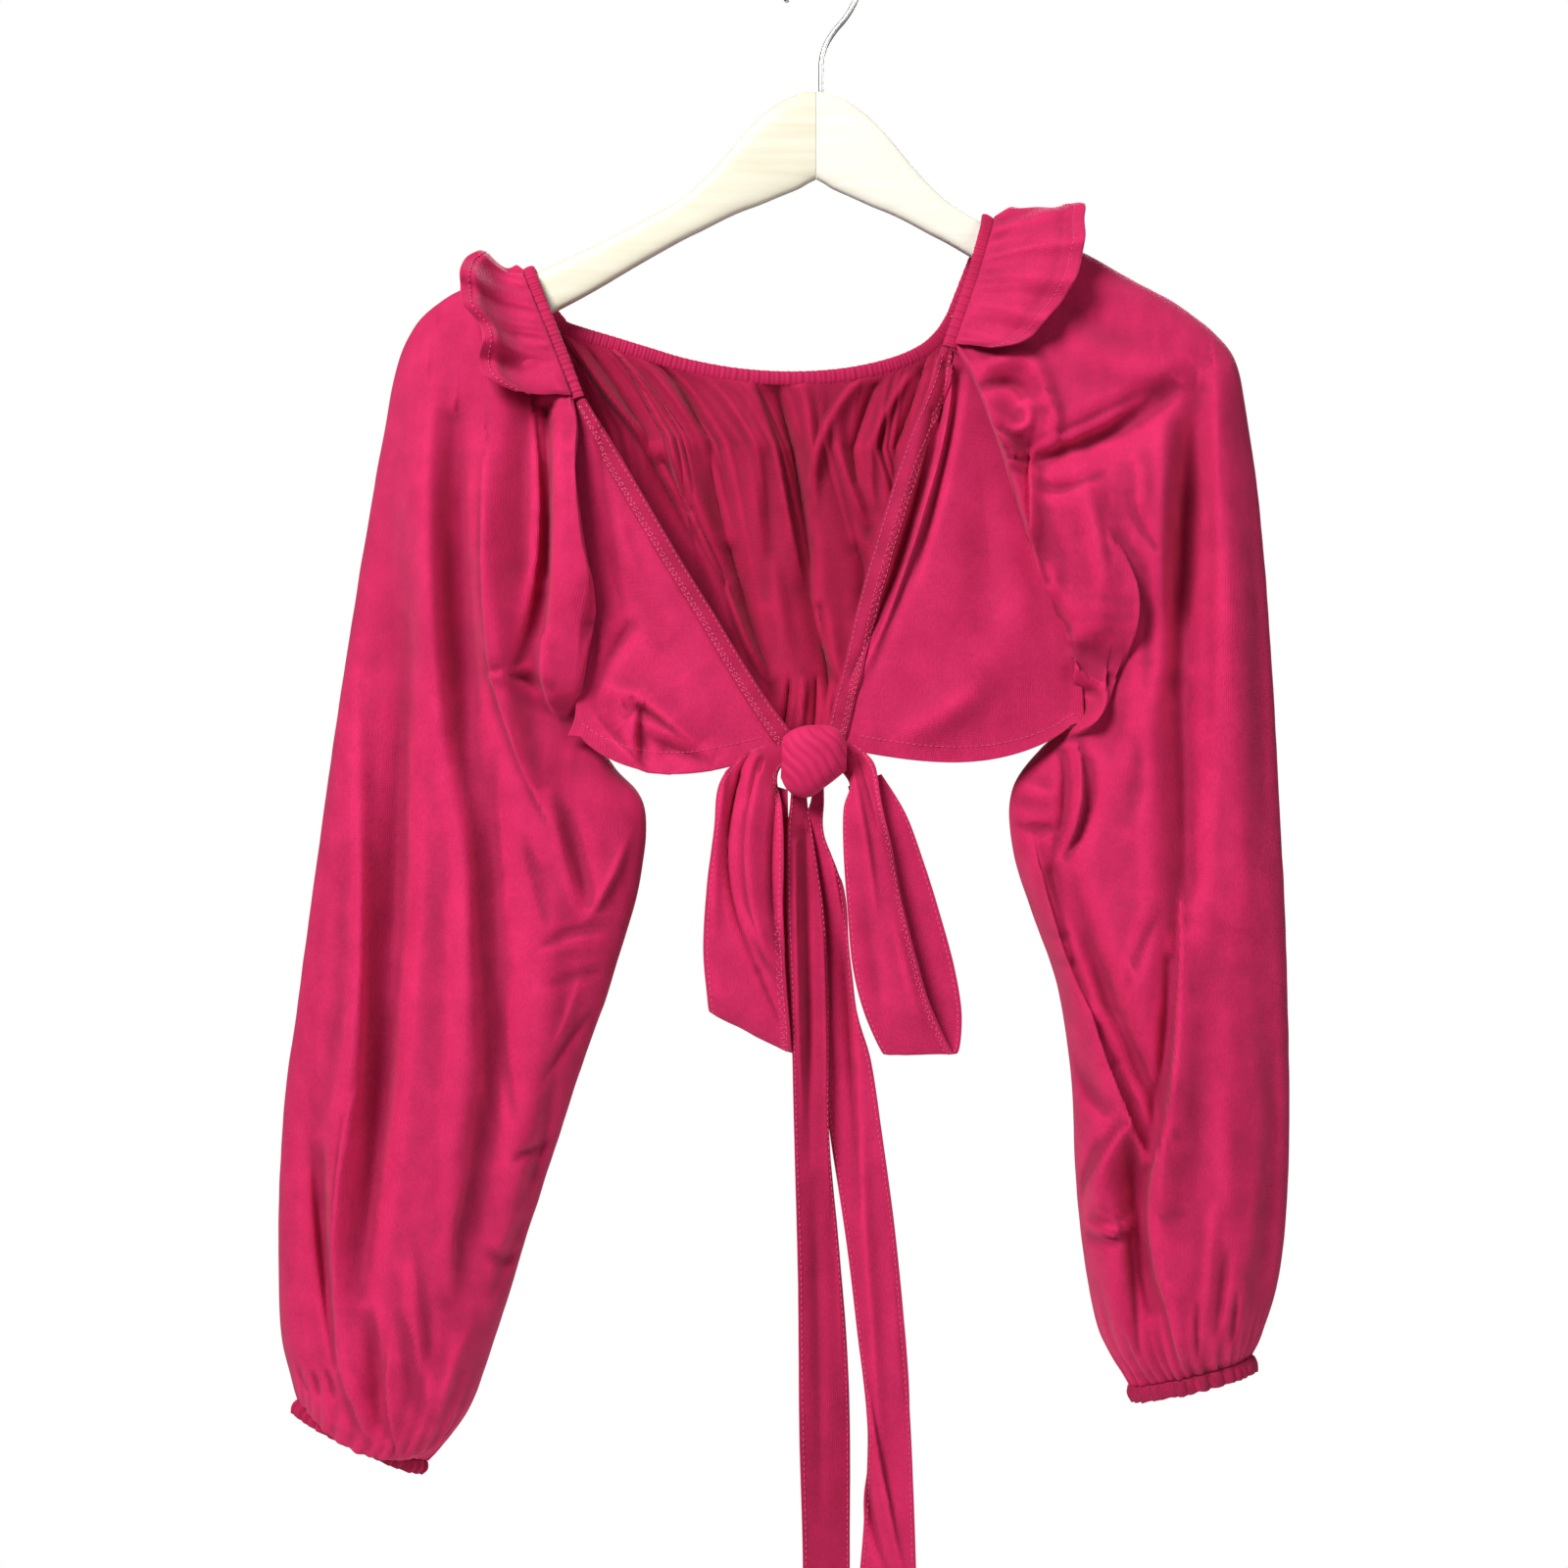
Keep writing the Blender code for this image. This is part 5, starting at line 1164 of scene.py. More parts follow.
def casing_edge(path, columns, outward):
    """Where the cloth starts, inside its casing, so that no light shows between them."""
    line, out, cross = casing_frames(path, columns)
    return line + cross * (CASING_WIDTH / 2 - 1.2) * outward


def sleeve_grid(table, front_folds, back_folds, edge, overhang, seed):
    """The sleeve from its front armhole edge round the outside to the back."""
    rows = spline(table, SLEEVE_DOWN)
    half = SLEEVE_AROUND // 2
    side = np.sign(table[9][3] - table[9][0])
    hang = np.array(overhang)
    u = np.linspace(0, 1, SLEEVE_DOWN)
    closed = u >= CLOSED_AT
    open_rows = int(np.sum(~closed))
    joined = np.clip((u - CLOSED_AT) * CAD_ROWS / 3 + 1, 0, 1)[:, None]
    joined = joined * joined * (3 - 2 * joined)
    rows[:, 5:8] = rows[:, 5:8] + joined * (rows[:, 0:3] - rows[:, 5:8])
    rows[:, 11:12] = rows[:, 11:12] * (1 - joined)
    cut = rows.T[:, :, None]
    fx, fz, fy, ox, oz, bx, bz, by, front, back, lean, roll = cut
    t = np.linspace(0, 1, half + 1)[None, :]
    open_part = np.clip((CLOSED_AT - u) * CAD_ROWS / 3, 0, 1)[:, None]
    w = open_part * np.sin(0.5 * math.pi * t) + (1 - open_part) * (0.5 - 0.5 * np.cos(math.pi * t))
    fade = open_part + (1 - open_part) * np.clip(np.sin(math.pi * t) * 1.8, 0, 1)
    fade = fade * np.clip(2.2 * np.sin(0.5 * math.pi * (1 - t)), 0, 1)
    turn = np.cos(0.5 * math.pi * t) ** 0.7
    drop = np.interp(u * CAD_ROWS, hang[:, 0], hang[:, 1])[:, None] * np.sin(math.pi * t) ** 2
    pouch = np.interp(u * CAD_ROWS, hang[:, 0], hang[:, 2])[:, None] * np.sin(math.pi * t)
    halves = []
    for ex, ez, ey, full, folds, face in (
        (fx, fz, fy, front, front_folds, -1.0),
        (bx, bz, by, back, back_folds, 1.0),
    ):
        x = ex + (ox - ex) * w
        z = ez + (oz - ez) * w - drop
        y = ey * turn + face * full * np.sin(math.pi * t ** lean)
        high, lean_x, lean_z = fold_field(x, z, folds)
        y = y + face * (high * fade + pouch)
        halves.append(np.stack([x + lean_x * fade, y, z + lean_z * fade], axis=2))
    grid = np.concatenate([halves[0], halves[1][:, ::-1][:, 1:]], axis=1)
    tuck = np.clip(1 - np.arange(SLEEVE_AROUND + 1) / 7, 0, 1)[None, :, None]
    roll_way = np.stack([side * 9 * roll, 7 * roll, 0 * roll], axis=2)
    grid = grid + tuck * roll_way
    settle = np.clip(1 - u * CAD_ROWS / 3, 0, 1) ** 1.5
    shift = edge - grid[0]
    grid += settle[:, None, None] * shift[None, :, :]
    closed_rows = SLEEVE_DOWN - open_rows
    calm = np.clip(u * 6, 0, 1)[:, None] * np.ones((1, SLEEVE_AROUND + 1))
    grid = ruffled(grid, 0.8, seed, closed_rows, calm)
    turn = np.linspace(0, 2 * math.pi, SLEEVE_AROUND + 1)
    centre = grid.mean(axis=1, keepdims=True)
    pull = grid - centre
    pull = pull / np.maximum(np.linalg.norm(pull, axis=2), 1e-6)[:, :, None]
    gather = 0.7 * np.sin(34 * turn + 1.7 * np.sin(5 * turn))
    gather = gather + 0.5 * np.sin(21 * turn + 2 * np.sin(3 * turn))
    near = np.clip((u * CAD_ROWS - 19.6) / 2.4, 0, 1) ** 1.5
    grid += pull * (1.5 * near[:, None] * gather[None, :])[:, :, None]
    top = np.clip(1 - u * CAD_ROWS / 1.6, 0, 1) ** 1.3
    tucks = np.sin(26 * turn + 1.4 * np.sin(4 * turn))
    out = grid_normals(grid, closed_rows)
    grid += out * (0.9 * top[:, None] * tucks[None, :])[:, :, None]
    return grid, open_rows


def build_sleeve(name, table, front, back, path, outward, overhang, cloth, seed):
    edge = casing_edge(path, SLEEVE_AROUND + 1, outward)
    grid, open_rows = sleeve_grid(table, front, back, edge, overhang, seed)
    item = cloth_mesh(name + "_cloth", grid, cloth, open_rows)
    own(item, name)
    return item, grid


def build_cuff(name, grid, cloth):
    """An elastic band in a casing, gathered to fine ribs, under the sleeve's last ring."""
    ring = grid[-1][:-1]
    centre = ring.mean(axis=0)
    before = grid[-30][:-1].mean(axis=0)
    left = ring[0] - ring[len(ring) // 2]
    axis = np.cross(left, np.array([0.0, 1.0, 0.0]))
    axis = axis / np.linalg.norm(axis)
    if np.dot(axis, centre - before) < 0:
        axis = -axis
    turn = np.linspace(0, 2 * math.pi, len(ring) + 1)[:-1]
    ribs = np.sin(58 * turn + 1.2 * np.sin(7 * turn)) + 0.4 * np.sin(31 * turn)
    rows = []
    for place in np.linspace(0, 1, 13):
        swell = 1.0 + 0.035 * math.sin(math.pi * place)
        pinch = 0.35 + 0.65 * math.sin(math.pi * place)
        pull = ring - centre
        way = pull / np.linalg.norm(pull, axis=1)[:, None]
        row = centre + pull * swell + axis * (SEAM_GAP + 0.2 + CUFF_HEIGHT * place)
        row = row + way * (0.45 * pinch * ribs)[:, None]
        rows.append(np.vstack([row, row[:1]]))
    item = cloth_mesh(name + "_cloth", np.array(rows), cloth, 0, CUFF_THICK)
    own(item, name)
    return item


def front_grid(table, folds, seed):
    rows = spline(table, FRONT_DOWN)
    grid = np.zeros((FRONT_DOWN, FRONT_ACROSS, 3))
    t = np.linspace(-0.06, 1, FRONT_ACROSS)
    inner = np.clip(t, 0, 1)
    for i, (sx, sz, sy, ex, ez, ey, sag, swell) in enumerate(rows):
        x = sx + (ex - sx) * t
        z = sz + (ez - sz) * t - sag * np.sin(math.pi * inner ** 0.75)
        y = sy + (ey - sy) * inner ** 1.2 - swell * np.sin(math.pi * inner)
        fade = np.clip(t * 4, 0, 1)
        high, lean_x, lean_z = fold_field(x, z, folds)
        grid[i] = np.stack([x + lean_x * fade, y - high * fade, z + lean_z * fade], axis=1)
    calm = np.clip(np.linspace(0, 1, FRONT_DOWN) * 8, 0, 1)[:, None] * np.clip(t * 6, 0, 1)
    grid = ruffled(grid, 0.5, seed, 0, calm)
    return grid


def build_front(name, table, folds, cloth, band_cloth, thread, seed):
    grid = front_grid(table, folds, seed)
    out = grid_normals(grid)
    if out[:, :, 1].mean() > 0:
        out = -out
        flip = True
    else:
        flip = False
    shown = grid[:, ::-1] if flip else grid
    panel = cloth_mesh(name + "_cloth", shown, cloth, None, 1.0)
    own(panel, name)
    rows = np.array(spline(table, FRONT_DOWN))
    width = np.hypot(rows[:, 3] - rows[:, 0], rows[:, 4] - rows[:, 1])
    part = np.minimum(BAND_WIDTH, 0.42 * width) / width
    band = np.zeros((FRONT_DOWN, 15, 3))
    band_out = np.zeros((FRONT_DOWN, 15, 3))
    place = np.linspace(-0.06, 1, FRONT_ACROSS)
    for i in range(FRONT_DOWN):
        for j, step in enumerate(np.linspace(0, 1, 15)):
            t = 1 - part[i] * (1 - step)
            for k in range(3):
                band[i, j, k] = np.interp(t, place, grid[i, :, k])
                band_out[i, j, k] = np.interp(t, place, out[i, :, k])
    ease = np.sin(math.pi * np.linspace(0.04, 0.96, 15)) ** 0.4
    ripple = 0.25 * np.sin(np.linspace(0, 70, FRONT_DOWN))[:, None] * ease[None, :]
    raised = band + band_out * (0.5 + 1.3 * ease[None, :] + ripple)[:, :, None]
    strip = cloth_mesh(name.replace("front", "front_band") + "_cloth",
                       raised[:, ::-1] if flip else raised, band_cloth, None, 0.9)
    own(strip, name.replace("front", "front_band"))
    paths = []
    for column in (2, 5, 12):
        paths.append((raised[3:, column], band_out[3:, column]))
    paths.append(zigzag(raised[3:, 2], band_out[3:, 2], raised[3:, 5], band_out[3:, 5], 2))
    paths.append((grid[-12, 4:-14], out[-12, 4:-14]))
    sewn = stitches(name + "_stitches", paths, thread)
    own(sewn, None)
    return panel, strip, sewn


def build_back(cloth):
    down = BACK_DOWN
    across = BACK_ACROSS
    rows = spline(BACK_PANEL, down)
    grid = np.zeros((down, across + 1, 3))
    t = np.linspace(0, 1, across + 1)
    line, out, cross = casing_frames(BACK_CASING, across + 1)
    reach = CASING_WIDTH / 2 - 1.2
    edge = line + cross * reach
    if edge[:, 2].mean() > line[:, 2].mean():
        edge = line - cross * reach
    folds = BACK_FOLDS + photo_folds(BACK_FINE, BACK_SCALE, BACK_RELIEF, BACK_SPREAD)
    for i, (lx, lz, ly, rx, rz, ry, dip, belly) in enumerate(rows):
        x = lx + (rx - lx) * t
        z = lz + (rz - lz) * t - dip * np.sin(math.pi * t)
        y = ly + (ry - ly) * t + belly * np.sin(math.pi * t)
        fade = np.clip(np.sin(math.pi * t) * 3, 0, 1)
        high, lean_x, lean_z = fold_field(x, z, folds)
        place = i / (down - 1)
        depth = 2.4 * math.exp(-5.0 * place) + 0.15
        uneven = 0.3 * np.sin(t * 17.0)
        wave = np.cos(2 * math.pi * (BACK_GATHERS * t + uneven))
        fine = np.cos(2 * math.pi * (2.1 * BACK_GATHERS * t + 0.9 * np.sin(t * 23)))
        fine = fine * (0.75 + 0.25 * np.sin(t * 61))
        fine = fine * np.clip(1 - place * (3.2 + 1.6 * np.sin(t * 47)), 0, 1)
        y = y - high * fade + depth * fade * wave + 2.3 * fine
        grid[i] = np.stack([x + lean_x * fade, y, z + lean_z * fade], axis=1)
    settle = np.clip(1 - np.linspace(0, 8, down) / 2, 0, 1)
    shift = edge - grid[0]
    grid += settle[:, None, None] * shift[None, :, :]
    calm = np.clip(np.linspace(0, 1, down) * 6, 0, 1)[:, None] * np.sin(math.pi * t)[None, :] ** 0.5
    grid = ruffled(grid, 0.8, 31.0, 0, calm)
    item = cloth_mesh("back_panel_cloth", grid, cloth, None, 0.9)
    own(item, "back_panel")
    return item, grid


def build_casing(name, path, cloth, seed):
    line, out, cross = casing_frames(path, 60)
    length = np.linalg.norm(np.diff(line, axis=0), axis=1).sum()
    count = int(length / 0.42)
    line, out, cross = casing_frames(path, count)
    run = np.linspace(0, length, count)
    ribs = np.sin(2 * math.pi * run / 2.2 + 1.6 * np.sin(run / 4.1 + seed))
    ribs = ribs + 0.6 * np.sin(2 * math.pi * run / 4.3 + seed)
    points, faces = tube(line, out, cross, CASING_WIDTH / 2, CASING_THICK / 2, 18, 1 + 0.17 * ribs)
    # Painted shade between the ribs and a little painted light on them.
    shade = np.repeat(-0.3 * ribs, 18)
    item = add_mesh(name + "_cloth", points, face_out(points, faces), cloth, None, shade)
    own(item, name)
    return item


def build_ruffle(name, table, path, outward, hollow, curl, gathers, cloth, thread, seed):
    """A waved strip, gathered under the casing's outer half, its free edge hemmed."""
    down = RUFFLE_DOWN
    deep = RUFFLE_ACROSS
    place, ex, ez, ey = spline(table, down).T
    line, out, cross = casing_frames(path, 801)
    k = np.round(np.clip(place, 0, 1) * 800).astype(int)
    sewn = line[k] + cross[k] * outward * 2.4 + out[k] * RUFFLE_STAND
    free = np.stack([ex, ey, ez], axis=1)
    step = np.linspace(0, 1, deep)
    grid = sewn[:, None] + (free - sewn)[:, None] * step[None, :, None]
    tuck = [
        noise.noise(Vector((0.03 * i, seed, 0))) + 0.35 * noise.noise(Vector((0.09 * i, seed + 4, 0)))
        for i in range(down)
    ]
    run = np.linspace(0, 1, down)[:, None]
    strong = np.interp(run, (0, 0.5, 0.8, 1), gathers)
    fade = (1 - step) ** 1.6 * np.clip(step * 8, 0, 1)
    lift = strong * np.array(tuck)[:, None] * fade[None, :]
    inside = np.clip(step / 0.76, 0, 1)
    lift = lift - hollow * np.sin(math.pi * inside ** 1.5)[None, :] * np.sin(math.pi * run ** 0.8)
    rim = np.clip((step - 0.74) * 16, 0, 1) * (1.2 - 0.7 * step)
    lift = lift + curl * rim[None, :] * np.clip(1.25 - run, 0, 1)
    grid += out[k][:, None] * lift[:, :, None]
    grid = ruffled(grid, 0.5, seed)
    normals = grid_normals(grid)
    flip = normals[:down // 3, :, 1].mean() > 0
    face = -normals if flip else normals
    hem = np.clip((step - 0.86) * 40, 0, 1) * 0.4
    grid += face * hem[None, :, None]
    shown = grid[:, ::-1] if flip else grid
    item = cloth_mesh(name + "_cloth", shown, cloth, None, 0.8)
    own(item, name)
    column = int(0.87 * deep)
    sewn_line = stitches(name + "_stitches", [(grid[2:-2, column], face[2:-2, column])], thread)
    own(sewn_line, None)
    return item, sewn_line


def build_loop(name, table, folds, cloth, thread):
    """A tie folded down and up again, open at both sides."""
    down = LOOP_DOWN
    across = LOOP_ACROSS
    lx, lz, rx, rz, y = spline(table, down).T[:, :, None]
    steps = np.linspace(0, 1, across)[None, :]
    place = np.linspace(0, 1, down)[:, None]
    ends = np.minimum(1.0, 14 * np.minimum(place, 1 - place))
    x = lx + (rx - lx) * steps
    z = lz + (rz - lz) * steps
    high, lean_x, lean_z = fold_field(x, z, folds)
    front = np.clip((0.55 - place) * 12, 0, 1) * np.clip(place * 9, 0, 1)
    bow = y - 1.5 * ends * np.sin(math.pi * steps) - high * front
    grid = np.stack([x + lean_x * front, bow, z + lean_z * front], axis=2)
    grid = ruffled(grid, 0.6, 17.0)
    normals = grid_normals(grid)
    edge = np.clip(1 - np.minimum(steps, 1 - steps) * 11, 0, 1) * 0.5
    grid = grid + normals * edge[:, :, None]
    item = cloth_mesh(name + "_cloth", grid, cloth, None, 1.1, 0.55)
    own(item, name)
    paths = []
    for column in (2, across - 3):
        for turned in (1, -1):
            face = normals[8:-8, column] * turned
            paths.append((grid[8:-8, column] + 0.5 * face, face))
    for a, b, turned in ((2, 5, 1), (across - 3, across - 6, -1)):
        face = normals * turned
        line = grid + 0.5 * face
        paths.append(zigzag(line[8:-8, a], face[8:-8, a], line[8:-8, b], face[8:-8, b], 2))
    sewn = stitches(name + "_stitches", paths, thread, lift=0.1)
    own(sewn, None)
    return item, sewn


def build_tail(name, table, folds, turned, cloth, thread):
    down = TAIL_DOWN
    across = TAIL_ACROSS
    z, lx, rx, y, twist = spline(table, down).T[:, :, None]
    steps = np.linspace(-1, 1, across)[None, :]
    x = 0.5 * (lx + rx) + 0.5 * (rx - lx) * steps
    place = np.linspace(0, 1, down)[:, None]
    sway = turned * np.clip(place * 6, 0, 1) * (0.8 + 0.2 * np.sin(9 * place))
    deep = y - 0.5 * (twist + sway) * steps
    z = z + 0 * x
    high, lean_x, lean_z = fold_field(x, z, folds)
    fade = np.clip(place * 30, 0, 1) * np.clip((1 - np.abs(steps)) * 4 + 0.25, 0, 1)
    grid = np.stack([x + lean_x * fade, deep - high * fade, z + lean_z * fade], axis=2)
    grid = ruffled(grid, 0.6, 23.0)
    normals = grid_normals(grid)
    flip = normals[:, :, 1].mean() > 0
    face = -normals if flip else normals
    shown = grid[:, ::-1] if flip else grid
    item = cloth_mesh(name + "_cloth", shown, cloth, None, 1.0)
    own(item, name)
    paths = []
    for column in (2, across - 3):
        paths.append((grid[10:-3, column], face[10:-3, column]))
    paths.append((grid[-9, 2:-2], face[-9, 2:-2]))
    sewn = stitches(name + "_stitches", paths, thread)
    own(sewn, None)
    return item, sewn


def build_knot(cloth):
    """The wrap of the tie, pulled tight, its pleats slanting down to the right, with painted shade between
    the pleats and painted light on their crests.
    """
    rings = []
    shade = []
    sides = 150
    for x, top, bottom, deep in spline(KNOT, 96):
        ring = []
        for k in range(sides):
            angle = 2 * math.pi * k / sides
            wide = math.copysign(abs(math.cos(angle)) ** 0.75, math.cos(angle))
            high = math.copysign(abs(math.sin(angle)) ** 0.85, math.sin(angle))
            z = 0.5 * (top + bottom) + 0.5 * (top - bottom) * high
            across = 0.74 * x + 0.67 * z + 0.9 * math.sin(0.21 * (0.67 * x - 0.74 * z))
            crest = abs(math.sin(math.pi * across / 5.6)) ** 0.6
            minor = abs(math.sin(math.pi * across / 2.9 + 0.7)) ** 0.8
            pleat = 1.7 * crest + 0.4 * minor - 1.1
            # Painted shade between the pleats and a little painted light on their crests.
            shade.append(0.7 * (0.55 - crest) + 0.2 * (0.5 - minor))
            y = KNOT_Y - (deep + pleat * abs(wide)) * wide
            ring.append((x - 0.75 * high + 0.12 * (z + 477), y, z))
        rings.append(np.array(ring))
    points = np.vstack(rings)
    faces = bar_faces(len(rings), sides)
    shade += [0.0] * (len(points) - len(shade))
    item = add_mesh("knot_cloth", points, face_out(points, faces), cloth, None, np.array(shade))
    own(item, "knot")
    return item


def build_arm(name, side, material):
    rings = []
    sides = 48
    for distance, top, bottom in spline(HANGER, 90):
        distance = min(max(distance, 0.0), 220.0)
        x = JOINT_X + side * (distance + JOINT_GAP / 2)
        half = 0.5 * (top - bottom)
        middle = 0.5 * (top + bottom) - (RIGHT_DROOP * distance if side > 0 else 0)
        deep = ARM_HALF_THICK * min(1.0, (222.0 - distance) / 9.0) ** 0.5
        ring = []
        for k in range(sides):
            angle = 2 * math.pi * (k + 0.5) / sides
            wide = math.copysign(abs(math.cos(angle)) ** 0.5, math.cos(angle))
            high = math.copysign(abs(math.sin(angle)) ** 0.5, math.sin(angle))
            ring.append((x, deep * wide, middle + half * high))
        rings.append(np.array(ring))
    points = np.vstack(rings)
    faces = bar_faces(len(rings), sides)
    item = add_mesh(name + "_wood", points, face_out(points, faces), material)
    own(item, name)
    return item


def build_hook(material):
    centre_z = WIRE_RADIUS - HOOK_RADIUS
    path = [(0, WOOD_TOP - 0.5), (0, -72), (0.4, -63), (3.2, -54), (8.0, -46.5), (13.5, -40), (18.0, -33)]
    for degrees in np.linspace(-15, 205, 18):
        angle = math.radians(degrees)
        path.append((HOOK_RADIUS * math.cos(angle), centre_z + HOOK_RADIUS * math.sin(angle)))
    rows = spline([(x, z, 0.0) for x, z in path], 150)
    line = np.stack([rows[:, 0], rows[:, 2], rows[:, 1]], axis=1)
    along = np.gradient(line, axis=0)
    along = along / np.linalg.norm(along, axis=1)[:, None]
    out = np.tile(np.array([0.0, -1.0, 0.0]), (len(line), 1))
    swell = np.ones(len(line))
    swell[-3:] = (0.93, 0.78, 0.5)
    sides = 16
    cross = np.cross(along, out)
    points = []
    for i in range(len(line)):
        for k in range(sides):
            angle = 2 * math.pi * k / sides
            ring = cross[i] * math.cos(angle) + out[i] * math.sin(angle)
            points.append(line[i] + ring * WIRE_RADIUS * swell[i])
    points = np.array(points)
    faces = bar_faces(len(line), sides)
    item = add_mesh("hanger_hook_wire", points, face_out(points, faces), material)
    own(item, "hanger_hook")
    return item


def area_light(name, place, target, size, power):
    """A soft round lamp that points at a target."""
    data = bpy.data.lights.new(name, "AREA")
    data.shape = "DISK"
    data.size = size
    data.energy = power
    item = bpy.data.objects.new(name, data)
    item.location = place
    way = Vector(target) - Vector(place)
    item.rotation_euler = way.to_track_quat("-Z", "Y").to_euler()
    bpy.context.scene.collection.objects.link(item)


def build_stage():
    """Camera at the photo's angle, white surroundings, soft light and a pale floor."""
    bpy.context.scene.view_settings.view_transform = "Standard"
    camera = bpy.data.cameras.new("camera")
    camera.angle = 2 * math.atan(VIEW_HALF_WIDTH / CAMERA_DISTANCE)
    item = bpy.data.objects.new("camera", camera)
    item.location = (VIEW_CENTRE[0] * MM, -CAMERA_DISTANCE, VIEW_CENTRE[1] * MM)
    item.rotation_euler = (math.pi / 2, 0.0, 0.0)
    bpy.context.scene.collection.objects.link(item)
    bpy.context.scene.camera = item
    world = bpy.data.worlds.new("studio")
    bpy.context.scene.world = world
    world.use_nodes = True
    tree = world.node_tree
    background = tree.nodes["Background"]
    background.inputs["Color"].default_value = (1.0, 1.0, 1.0, 1.0)
    background.inputs["Strength"].default_value = 1.0
    soft = tree.nodes.new("ShaderNodeBackground")
    soft.inputs["Color"].default_value = (1.0, 0.99, 0.98, 1.0)
    soft.inputs["Strength"].default_value = WORLD_LIGHT
    seen = tree.nodes.new("ShaderNodeLightPath")
    choice = tree.nodes.new("ShaderNodeMixShader")
    output = tree.nodes["World Output"]
    tree.links.new(seen.outputs["Is Camera Ray"], choice.inputs["Fac"])
    tree.links.new(soft.outputs["Background"], choice.inputs[1])
    tree.links.new(background.outputs["Background"], choice.inputs[2])
    tree.links.new(choice.outputs["Shader"], output.inputs["Surface"])
    ring = []
    for k in range(FLOOR_SIDES):
        angle = 2 * math.pi * k / FLOOR_SIDES
        ring.append((FLOOR_RADIUS * math.cos(angle), FLOOR_RADIUS * math.sin(angle), FLOOR_HEIGHT))
    mesh = bpy.data.meshes.new("floor")
    mesh.from_pydata(ring, [], [tuple(range(FLOOR_SIDES))])
    mesh.materials.append(plain_material("floor_white", (0.93, 0.93, 0.93)))
    floor = bpy.data.objects.new("floor", mesh)
    bpy.context.scene.collection.objects.link(floor)
    area_light("key", (-1.2, -1.8, 0.95), LIGHT_AIM, 1.1, KEY_LIGHT)
    area_light("fill", (1.6, -1.3, 0.2), LIGHT_AIM, 1.4, FILL_LIGHT)
    area_light("rim", (0.5, 1.7, 0.7), LIGHT_AIM, 1.2, RIM_LIGHT)


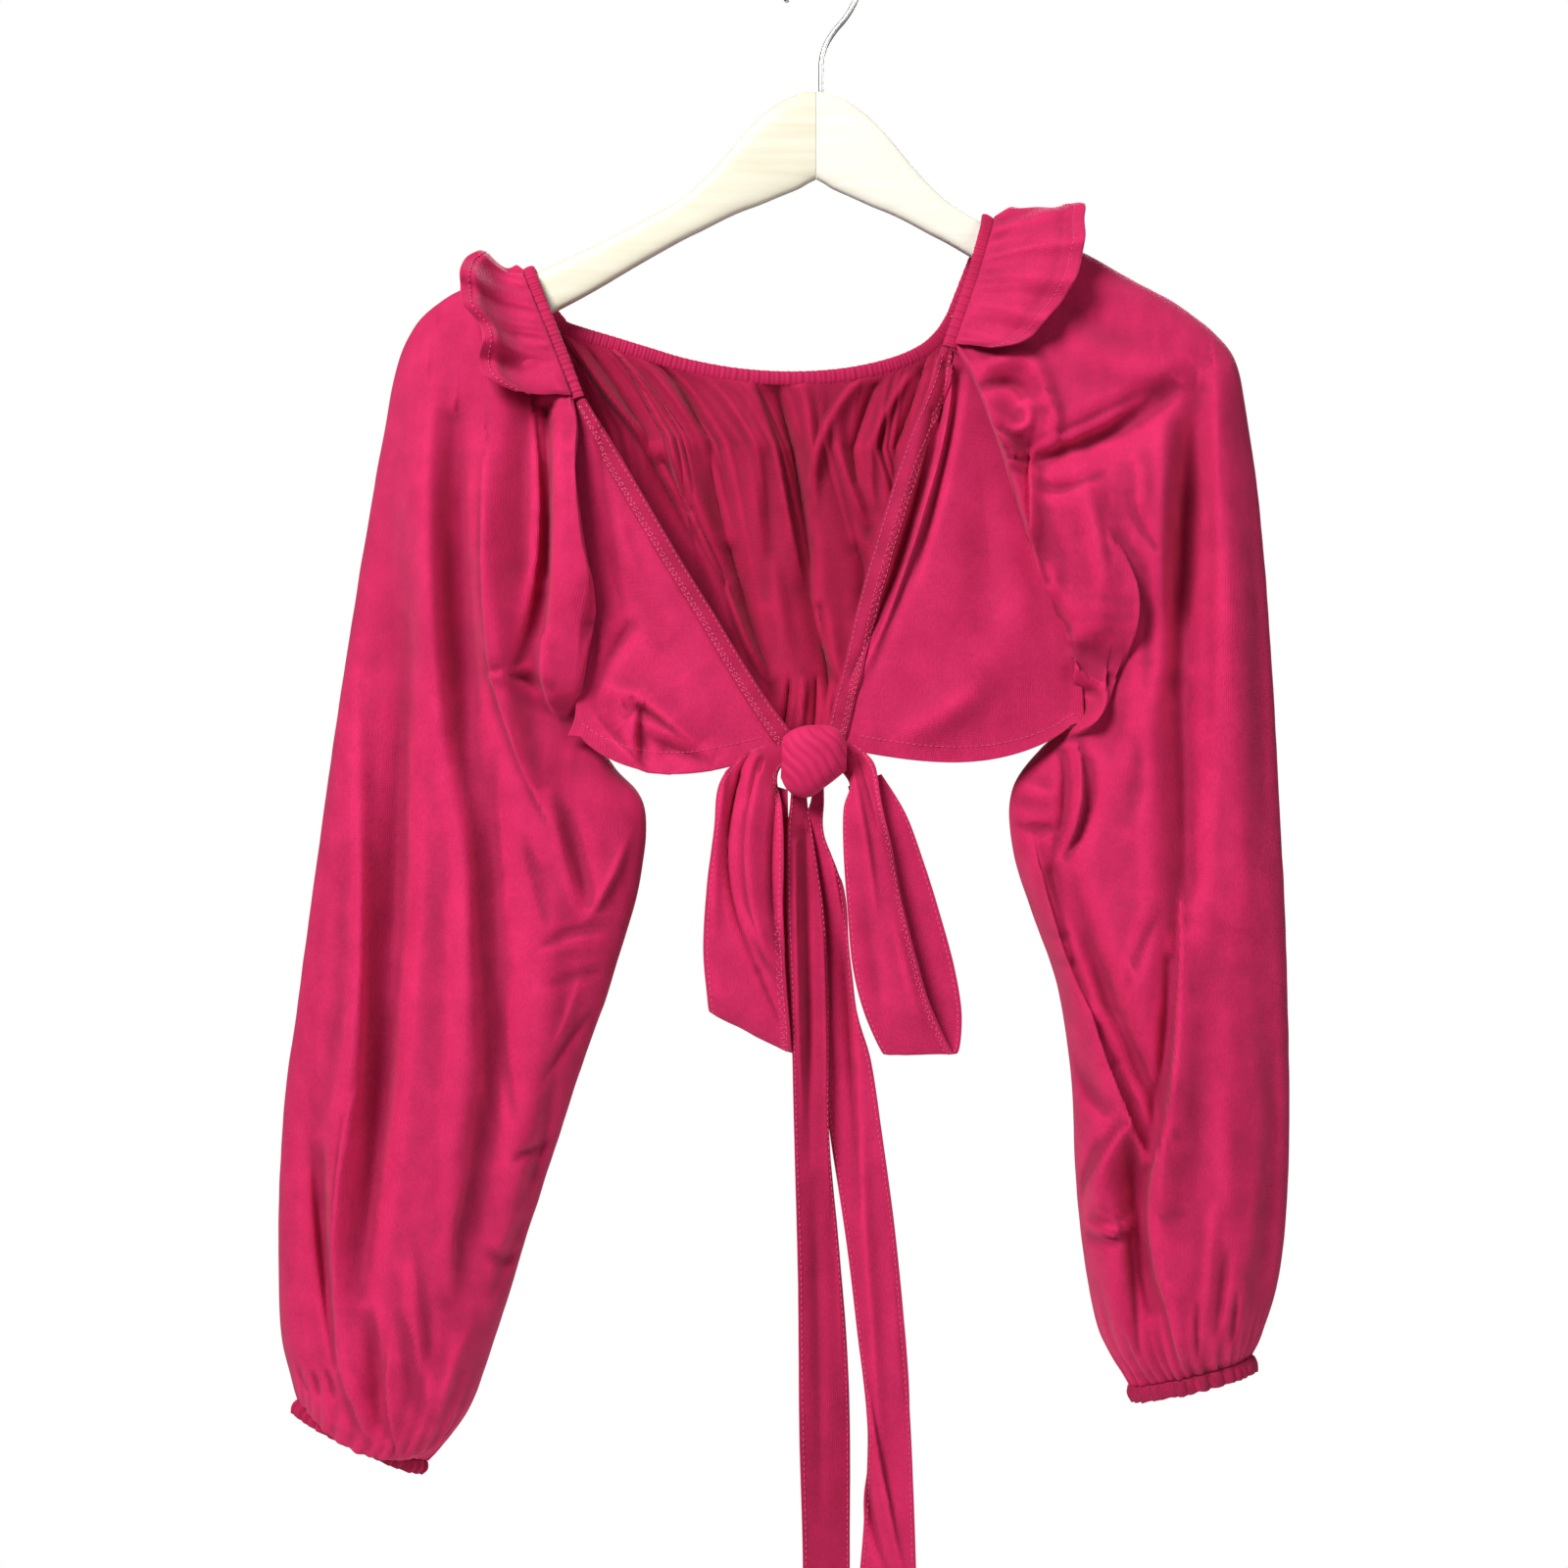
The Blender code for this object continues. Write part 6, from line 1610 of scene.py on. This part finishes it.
def main():
    build_stage()
    cloth = cloth_material("crimson_knit", (0.66, 0.016, 0.108), (0.47, 0.007, 0.068))
    # A darker copy of the same knit for the back panel: painted shade.
    cloth_painted_shade = cloth_material("crimson_knit_painted_shade", (0.45, 0.005, 0.054), (0.33, 0.002, 0.035))
    # A darker copy of the same knit, painted shade, for the cuffs, the casings and the left tail.
    gathered = cloth_material("crimson_knit_shaded", (0.53, 0.009, 0.077), (0.38, 0.004, 0.048))
    facing = cloth_material("crimson_facing", (0.47, 0.007, 0.066), (0.34, 0.004, 0.042))
    thread = thread_material("crimson_thread", (0.86, 0.06, 0.20))
    wood_left = wood_material("pale_wood_left", (0.72, 0.69, 0.555), (0.67, 0.625, 0.48), 0.45)
    wood_right = wood_material("pale_wood_right", (0.80, 0.785, 0.69), (0.76, 0.73, 0.625), -0.45)
    wire = wire_material("plated_wire", (0.86, 0.85, 0.82))
    arm_left = build_arm("hanger_arm_left", -1, wood_left)
    arm_right = build_arm("hanger_arm_right", 1, wood_right)
    build_hook(wire)
    sleeve_left, left = build_sleeve(
        "sleeve_left", LEFT_SLEEVE,
        LEFT_SLEEVE_FRONT_FOLDS + photo_folds(LEFT_SLEEVE_FINE, FRONT_SCALE, LEFT_SLEEVE_RELIEF),
        LEFT_SLEEVE_BACK_FOLDS + LEFT_BACK_FINE, LEFT_CASING, -1, LEFT_OVERHANG, cloth, 3.0)
    sleeve_right, right = build_sleeve(
        "sleeve_right", RIGHT_SLEEVE,
        RIGHT_SLEEVE_FRONT_FOLDS + photo_folds(RIGHT_SLEEVE_FINE, FRONT_SCALE, RIGHT_SLEEVE_RELIEF),
        RIGHT_SLEEVE_BACK_FOLDS + RIGHT_BACK_FINE, RIGHT_CASING, 1, RIGHT_OVERHANG, cloth, 8.0)
    cuff_left = build_cuff("cuff_left", left, gathered)
    cuff_right = build_cuff("cuff_right", right, gathered)
    front_left = build_front(
        "front_left", LEFT_FRONT,
        LEFT_FRONT_FOLDS + photo_folds(LEFT_FRONT_FINE, FRONT_SCALE, LEFT_FRONT_RELIEF),
        cloth, facing, thread, 4.0)
    front_right = build_front(
        "front_right", RIGHT_FRONT,
        RIGHT_FRONT_FOLDS + photo_folds(RIGHT_FRONT_FINE, FRONT_SCALE, RIGHT_FRONT_RELIEF),
        cloth, facing, thread, 6.0)
    back, _ = build_back(cloth_painted_shade)
    casing_left = build_casing("neck_casing_left", LEFT_CASING, gathered, 0.4)
    casing_right = build_casing("neck_casing_right", RIGHT_CASING, gathered, 1.9)
    casing_back = build_casing("neck_casing_back", BACK_CASING, gathered, 3.1)
    ruffle_left = build_ruffle("ruffle_left", LEFT_RUFFLE, LEFT_CASING, -1, 7.0, 5.5,
                               (7, 12, 18, 10), cloth, thread, 12.0)
    ruffle_right = build_ruffle("ruffle_right", RIGHT_RUFFLE, RIGHT_CASING, 1, -3.0, 0.6,
                                (9, 10, 20, 16), cloth, thread, 19.0)
    knot = build_knot(cloth)
    folds = photo_folds(LEFT_LOOP_FOLDS, LOOP_SCALE)
    loop_left = build_loop("bow_loop_left", LEFT_LOOP, folds, cloth, thread)
    folds = photo_folds(RIGHT_LOOP_FOLDS, LOOP_SCALE)
    loop_right = build_loop("bow_loop_right", RIGHT_LOOP, folds, cloth, thread)
    folds = photo_folds(LEFT_TAIL_FOLDS, LEFT_TAIL_SCALE)
    # The left tail takes the darker copy of the knit: painted shade.
    tail_left = build_tail("tail_left", LEFT_TAIL, folds, -13.0, gathered, thread)
    folds = photo_folds(RIGHT_TAIL_FOLDS, RIGHT_TAIL_SCALE)
    tail_right = build_tail("tail_right", RIGHT_TAIL, folds, 2.0, cloth, thread)


main()
